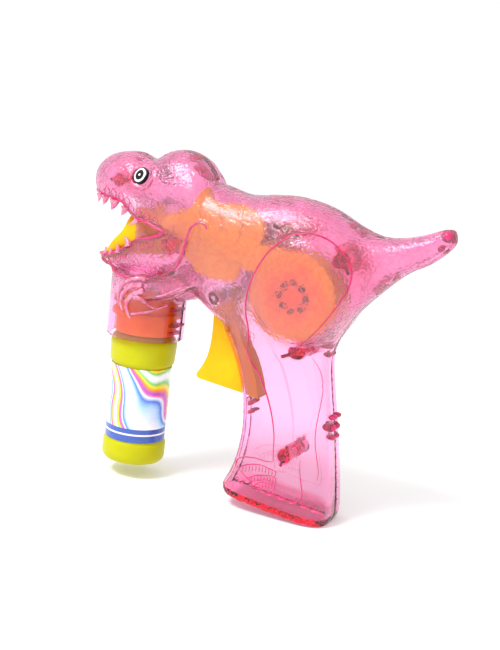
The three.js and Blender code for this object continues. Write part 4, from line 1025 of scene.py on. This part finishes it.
# ---- Bottle socket ----
# The orange socket is a moulded cup held inside the collar; its flange keeps it from dropping,
# and the bottle's neck goes up into it.
BOTTLE_X = -66
socket = turned("bottle_socket_moulding", [
    (2.4, 106), (2.4, 107.8), (13.4, 107.8), (15.6, 107), (17.2, 105), (17.3, 97.6), (19.6, 97.4),
    (19.8, 96.9), (19.8, 95.4), (19.5, 95), (17.3, 94.8), (17.3, 85.2), (16.9, 84.6), (13.9, 84.6),
    (13.7, 85.2), (13.7, 106),
], (BOTTLE_X, 0, 0))
socket.data.materials.append(orange)
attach(socket, "housing")
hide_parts("bottle_socket")

# ---- Bottle and label ----
# Blow-moulded lime bottle: a rounded foot, a waist that holds the label, a soft shoulder and a
# threaded neck, with its printed film sleeve.
bottle = turned("bottle_moulding", [
    (0, 9.4), (9, 8.9), (12.6, 8.42), (14.8, 8.5), (16.4, 9.1), (17.5, 10.3), (18.1, 12),
    (18.15, 14), (18.15, 19.6), (17.9, 20.5), (17.2, 21.2), (17, 21.8), (17, 65.8), (17.3, 66.4),
    (18, 66.9), (18.4, 67.6), (18.6, 69), (18.75, 72), (18.95, 76), (19, 78.6), (18.7, 80.2),
    (17.8, 82), (16.2, 83.4), (14.2, 84.2), (13.3, 84.8), (13.3, 101.6), (13, 102), (12.2, 102),
    (12, 101.6), (12, 84), (15.9, 81.4), (16.6, 79), (16, 66), (15.6, 20), (15.3, 12.4),
    (13.2, 10.6), (0, 10.9),
], (BOTTLE_X, 0, 0), segments=96)
bottle.data.materials.append(lime)
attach(bottle, "bottle")
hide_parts("bottle")
thread = [(BOTTLE_X + 13.25 * math.cos(a), 13.25 * math.sin(a), 89 + 3.2 * a / (2 * math.pi), 0.34)
          for a in np.linspace(0, 5 * math.pi, 110)]
beads("bottle_thread", [thread], lime, "bottle")

sleeve = turned("bottle_label_film", [
    (17.16, 22.3), (17.42, 22.2), (17.46, 22.5), (17.46, 65.1), (17.42, 65.4), (17.16, 65.3)],
    (BOTTLE_X, 0, 0), segments=128)
film, shader, place = new_material("label_film", (1, 1, 1), 0.25, Coat_Weight=0.4,
                                   Coat_Roughness=0.1)
high = place.node("ShaderNodeSeparateXYZ", {0: place}, 2)
swirl = place.node("ShaderNodeTexWave", {
    "Vector": place.node("ShaderNodeMapping", {"Vector": place, "Rotation": (0.5, 0.35, 0.2)}),
    "Scale": 16, "Distortion": 7, "Detail": 1.5, "Detail Scale": 1.2, "Detail Roughness": 0.4}, 1)
rainbow = swirl.node("ShaderNodeValToRGB", {0: swirl}, stops=[
    (0, (0.95, 0.93, 0.96)), (0.2, (0.35, 0.6, 0.95)), (0.34, (0.05, 0.16, 0.75)),
    (0.46, (0.8, 0.9, 1)), (0.56, (0.85, 0.1, 0.45)), (0.66, (0.42, 0.08, 0.62)),
    (0.76, (0.95, 0.22, 0.02)), (0.86, (0.98, 0.75, 0.02)), (0.94, (0.16, 0.6, 0.1)),
    (1, (0.92, 0.95, 1))])
band = high.between(0.0300, 0.0304)
foot = place.node("ShaderNodeRGB")
foot.socket.default_value = (0.03, 0.09, 0.42, 1)
stripe = high.between(0.0262, 0.0264) * (1 - high.between(0.0272, 0.0274))
lower = foot.blend(stripe, (0.9, 0.85, 0.9, 1))
connect(lower.blend(band, rainbow), shader["Base Color"])
connect(place.noise(0.004, 3) * 0.15 + 0.2, shader["Roughness"])
bumped(place.noise(0.005, 2), 0.0001, 0.4, shader)
sleeve.data.materials.append(film)
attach(sleeve, "bottle")
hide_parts("bottle_label")

# ---- Screws ----
# Six self-tapping steel pan heads go in from the right half, through its sleeves and into the
# posts of the left half.


def screw_mesh():
    """One pan-head screw along -Y, its head's seat at y = 0."""
    rows = [(0, 2.2), (1.1, 2.15), (2, 1.8), (2.6, 1.1), (2.75, 0.4), (2.75, 0), (1.15, 0)]
    shank = [(1.15 + (0.22 if k % 2 else -0.05), -0.6 - 0.55 * k) for k in range(27)]
    rows += shank + [(0.35, -16), (0, -16.2)]
    work = turned("case_screw", rows, (0, 0, 0), (0, 1, 0), 24)
    mesh = work.data
    bpy.data.objects.remove(work)
    return mesh


screw_source = bpy.data.objects.new("screw_source", screw_mesh())
SCREWS = {**POSTS, "cheek": (-41.9, 138.7)}
for name, (x, z) in SCREWS.items():
    mesh = screw_source.data.copy()
    mesh.transform(Matrix.Translation((x * MM, 8.9 * MM, z * MM)))
    mesh.materials.append(steel)
    piece = bpy.data.objects.new("screw_" + name + "_pan_head", mesh)
    bpy.context.scene.collection.objects.link(piece)
    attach(piece, "housing")
    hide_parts("screw_" + name)
bpy.data.objects.remove(screw_source)

# ---- Camera, floor and light ----
# A long lens looks a little down on the toy's left side.  The floor is white paper with a faint
# glow that curves up all round, under a white sky and one round lamp above the front left.
LENS_MM, SENSOR_MM = 72, 36
camera_data = bpy.data.cameras.new("camera")
camera = bpy.data.objects.new("camera", camera_data)
bpy.context.scene.collection.objects.link(camera)
right, up, back = (0.9132, 0.3905, 0.1166), (-0.1875, 0.1487, 0.9705), (0.362, -0.908, 0.209)
turn = Matrix((right, up, back)).transposed().to_4x4()
camera.matrix_world = Matrix.Translation((0.257457, -0.652201, 0.250165)) @ turn
camera_data.lens = LENS_MM
camera_data.sensor_width = SENSOR_MM
bpy.context.scene.camera = camera

FLAT, SWEEP, ROUND = 3, 1.6, 96
rows = [(r, 0.0) for r in (0.3, 1, 2, FLAT)]
rows += [(FLAT + SWEEP * math.sin(a), SWEEP - SWEEP * math.cos(a))
         for a in np.linspace(0.1, 1.5, 14)]
around = np.linspace(0, 2 * np.pi, ROUND, endpoint=False)
bowl = [(0, 0, 0)] + [(r * math.cos(a), r * math.sin(a), h) for r, h in rows for a in around]
faces = [(0, 1 + k, 1 + (k + 1) % ROUND) for k in range(ROUND)]
for first in range(1, 1 + (len(rows) - 1) * ROUND, ROUND):
    for k in range(ROUND):
        after = (k + 1) % ROUND
        faces.append((first + k, first + ROUND + k, first + ROUND + after, first + after))
floor_mesh = bpy.data.meshes.new("floor")
floor_mesh.from_pydata(bowl, [], faces)
floor_mesh.polygons.foreach_set("use_smooth", [True] * len(floor_mesh.polygons))
floor = bpy.data.objects.new("floor", floor_mesh)
bpy.context.scene.collection.objects.link(floor)
paper, shader, place = new_material("pale_floor", (0.95, 0.95, 0.95), 0.85,
                                    Emission_Color=(1, 1, 1, 1), Emission_Strength=0.06)
floor_mesh.materials.append(paper)

world = bpy.data.worlds.new("studio")
world.use_nodes = True
world.node_tree.nodes["Background"].inputs["Color"].default_value = (1, 1, 1, 1)
world.node_tree.nodes["Background"].inputs["Strength"].default_value = 1.0
bpy.context.scene.world = world


def softbox(name, place, aim, size, power):
    data = bpy.data.lights.new(name, "AREA")
    data.shape = "DISK"
    data.size = size
    data.energy = power
    lamp = bpy.data.objects.new(name, data)
    lamp.matrix_world = Matrix.Translation(place) @ (
        Vector(place) - Vector(aim)).to_track_quat("Z", "Y").to_matrix().to_4x4()
    bpy.context.scene.collection.objects.link(lamp)


softbox("key_light", (-0.35, -0.55, 1.0), (0, 0, 0.12), 0.42, 11)
bounces = bpy.context.scene.cycles
bounces.max_bounces = bounces.transmission_bounces = 28
bpy.context.scene.view_settings.view_transform = "Standard"
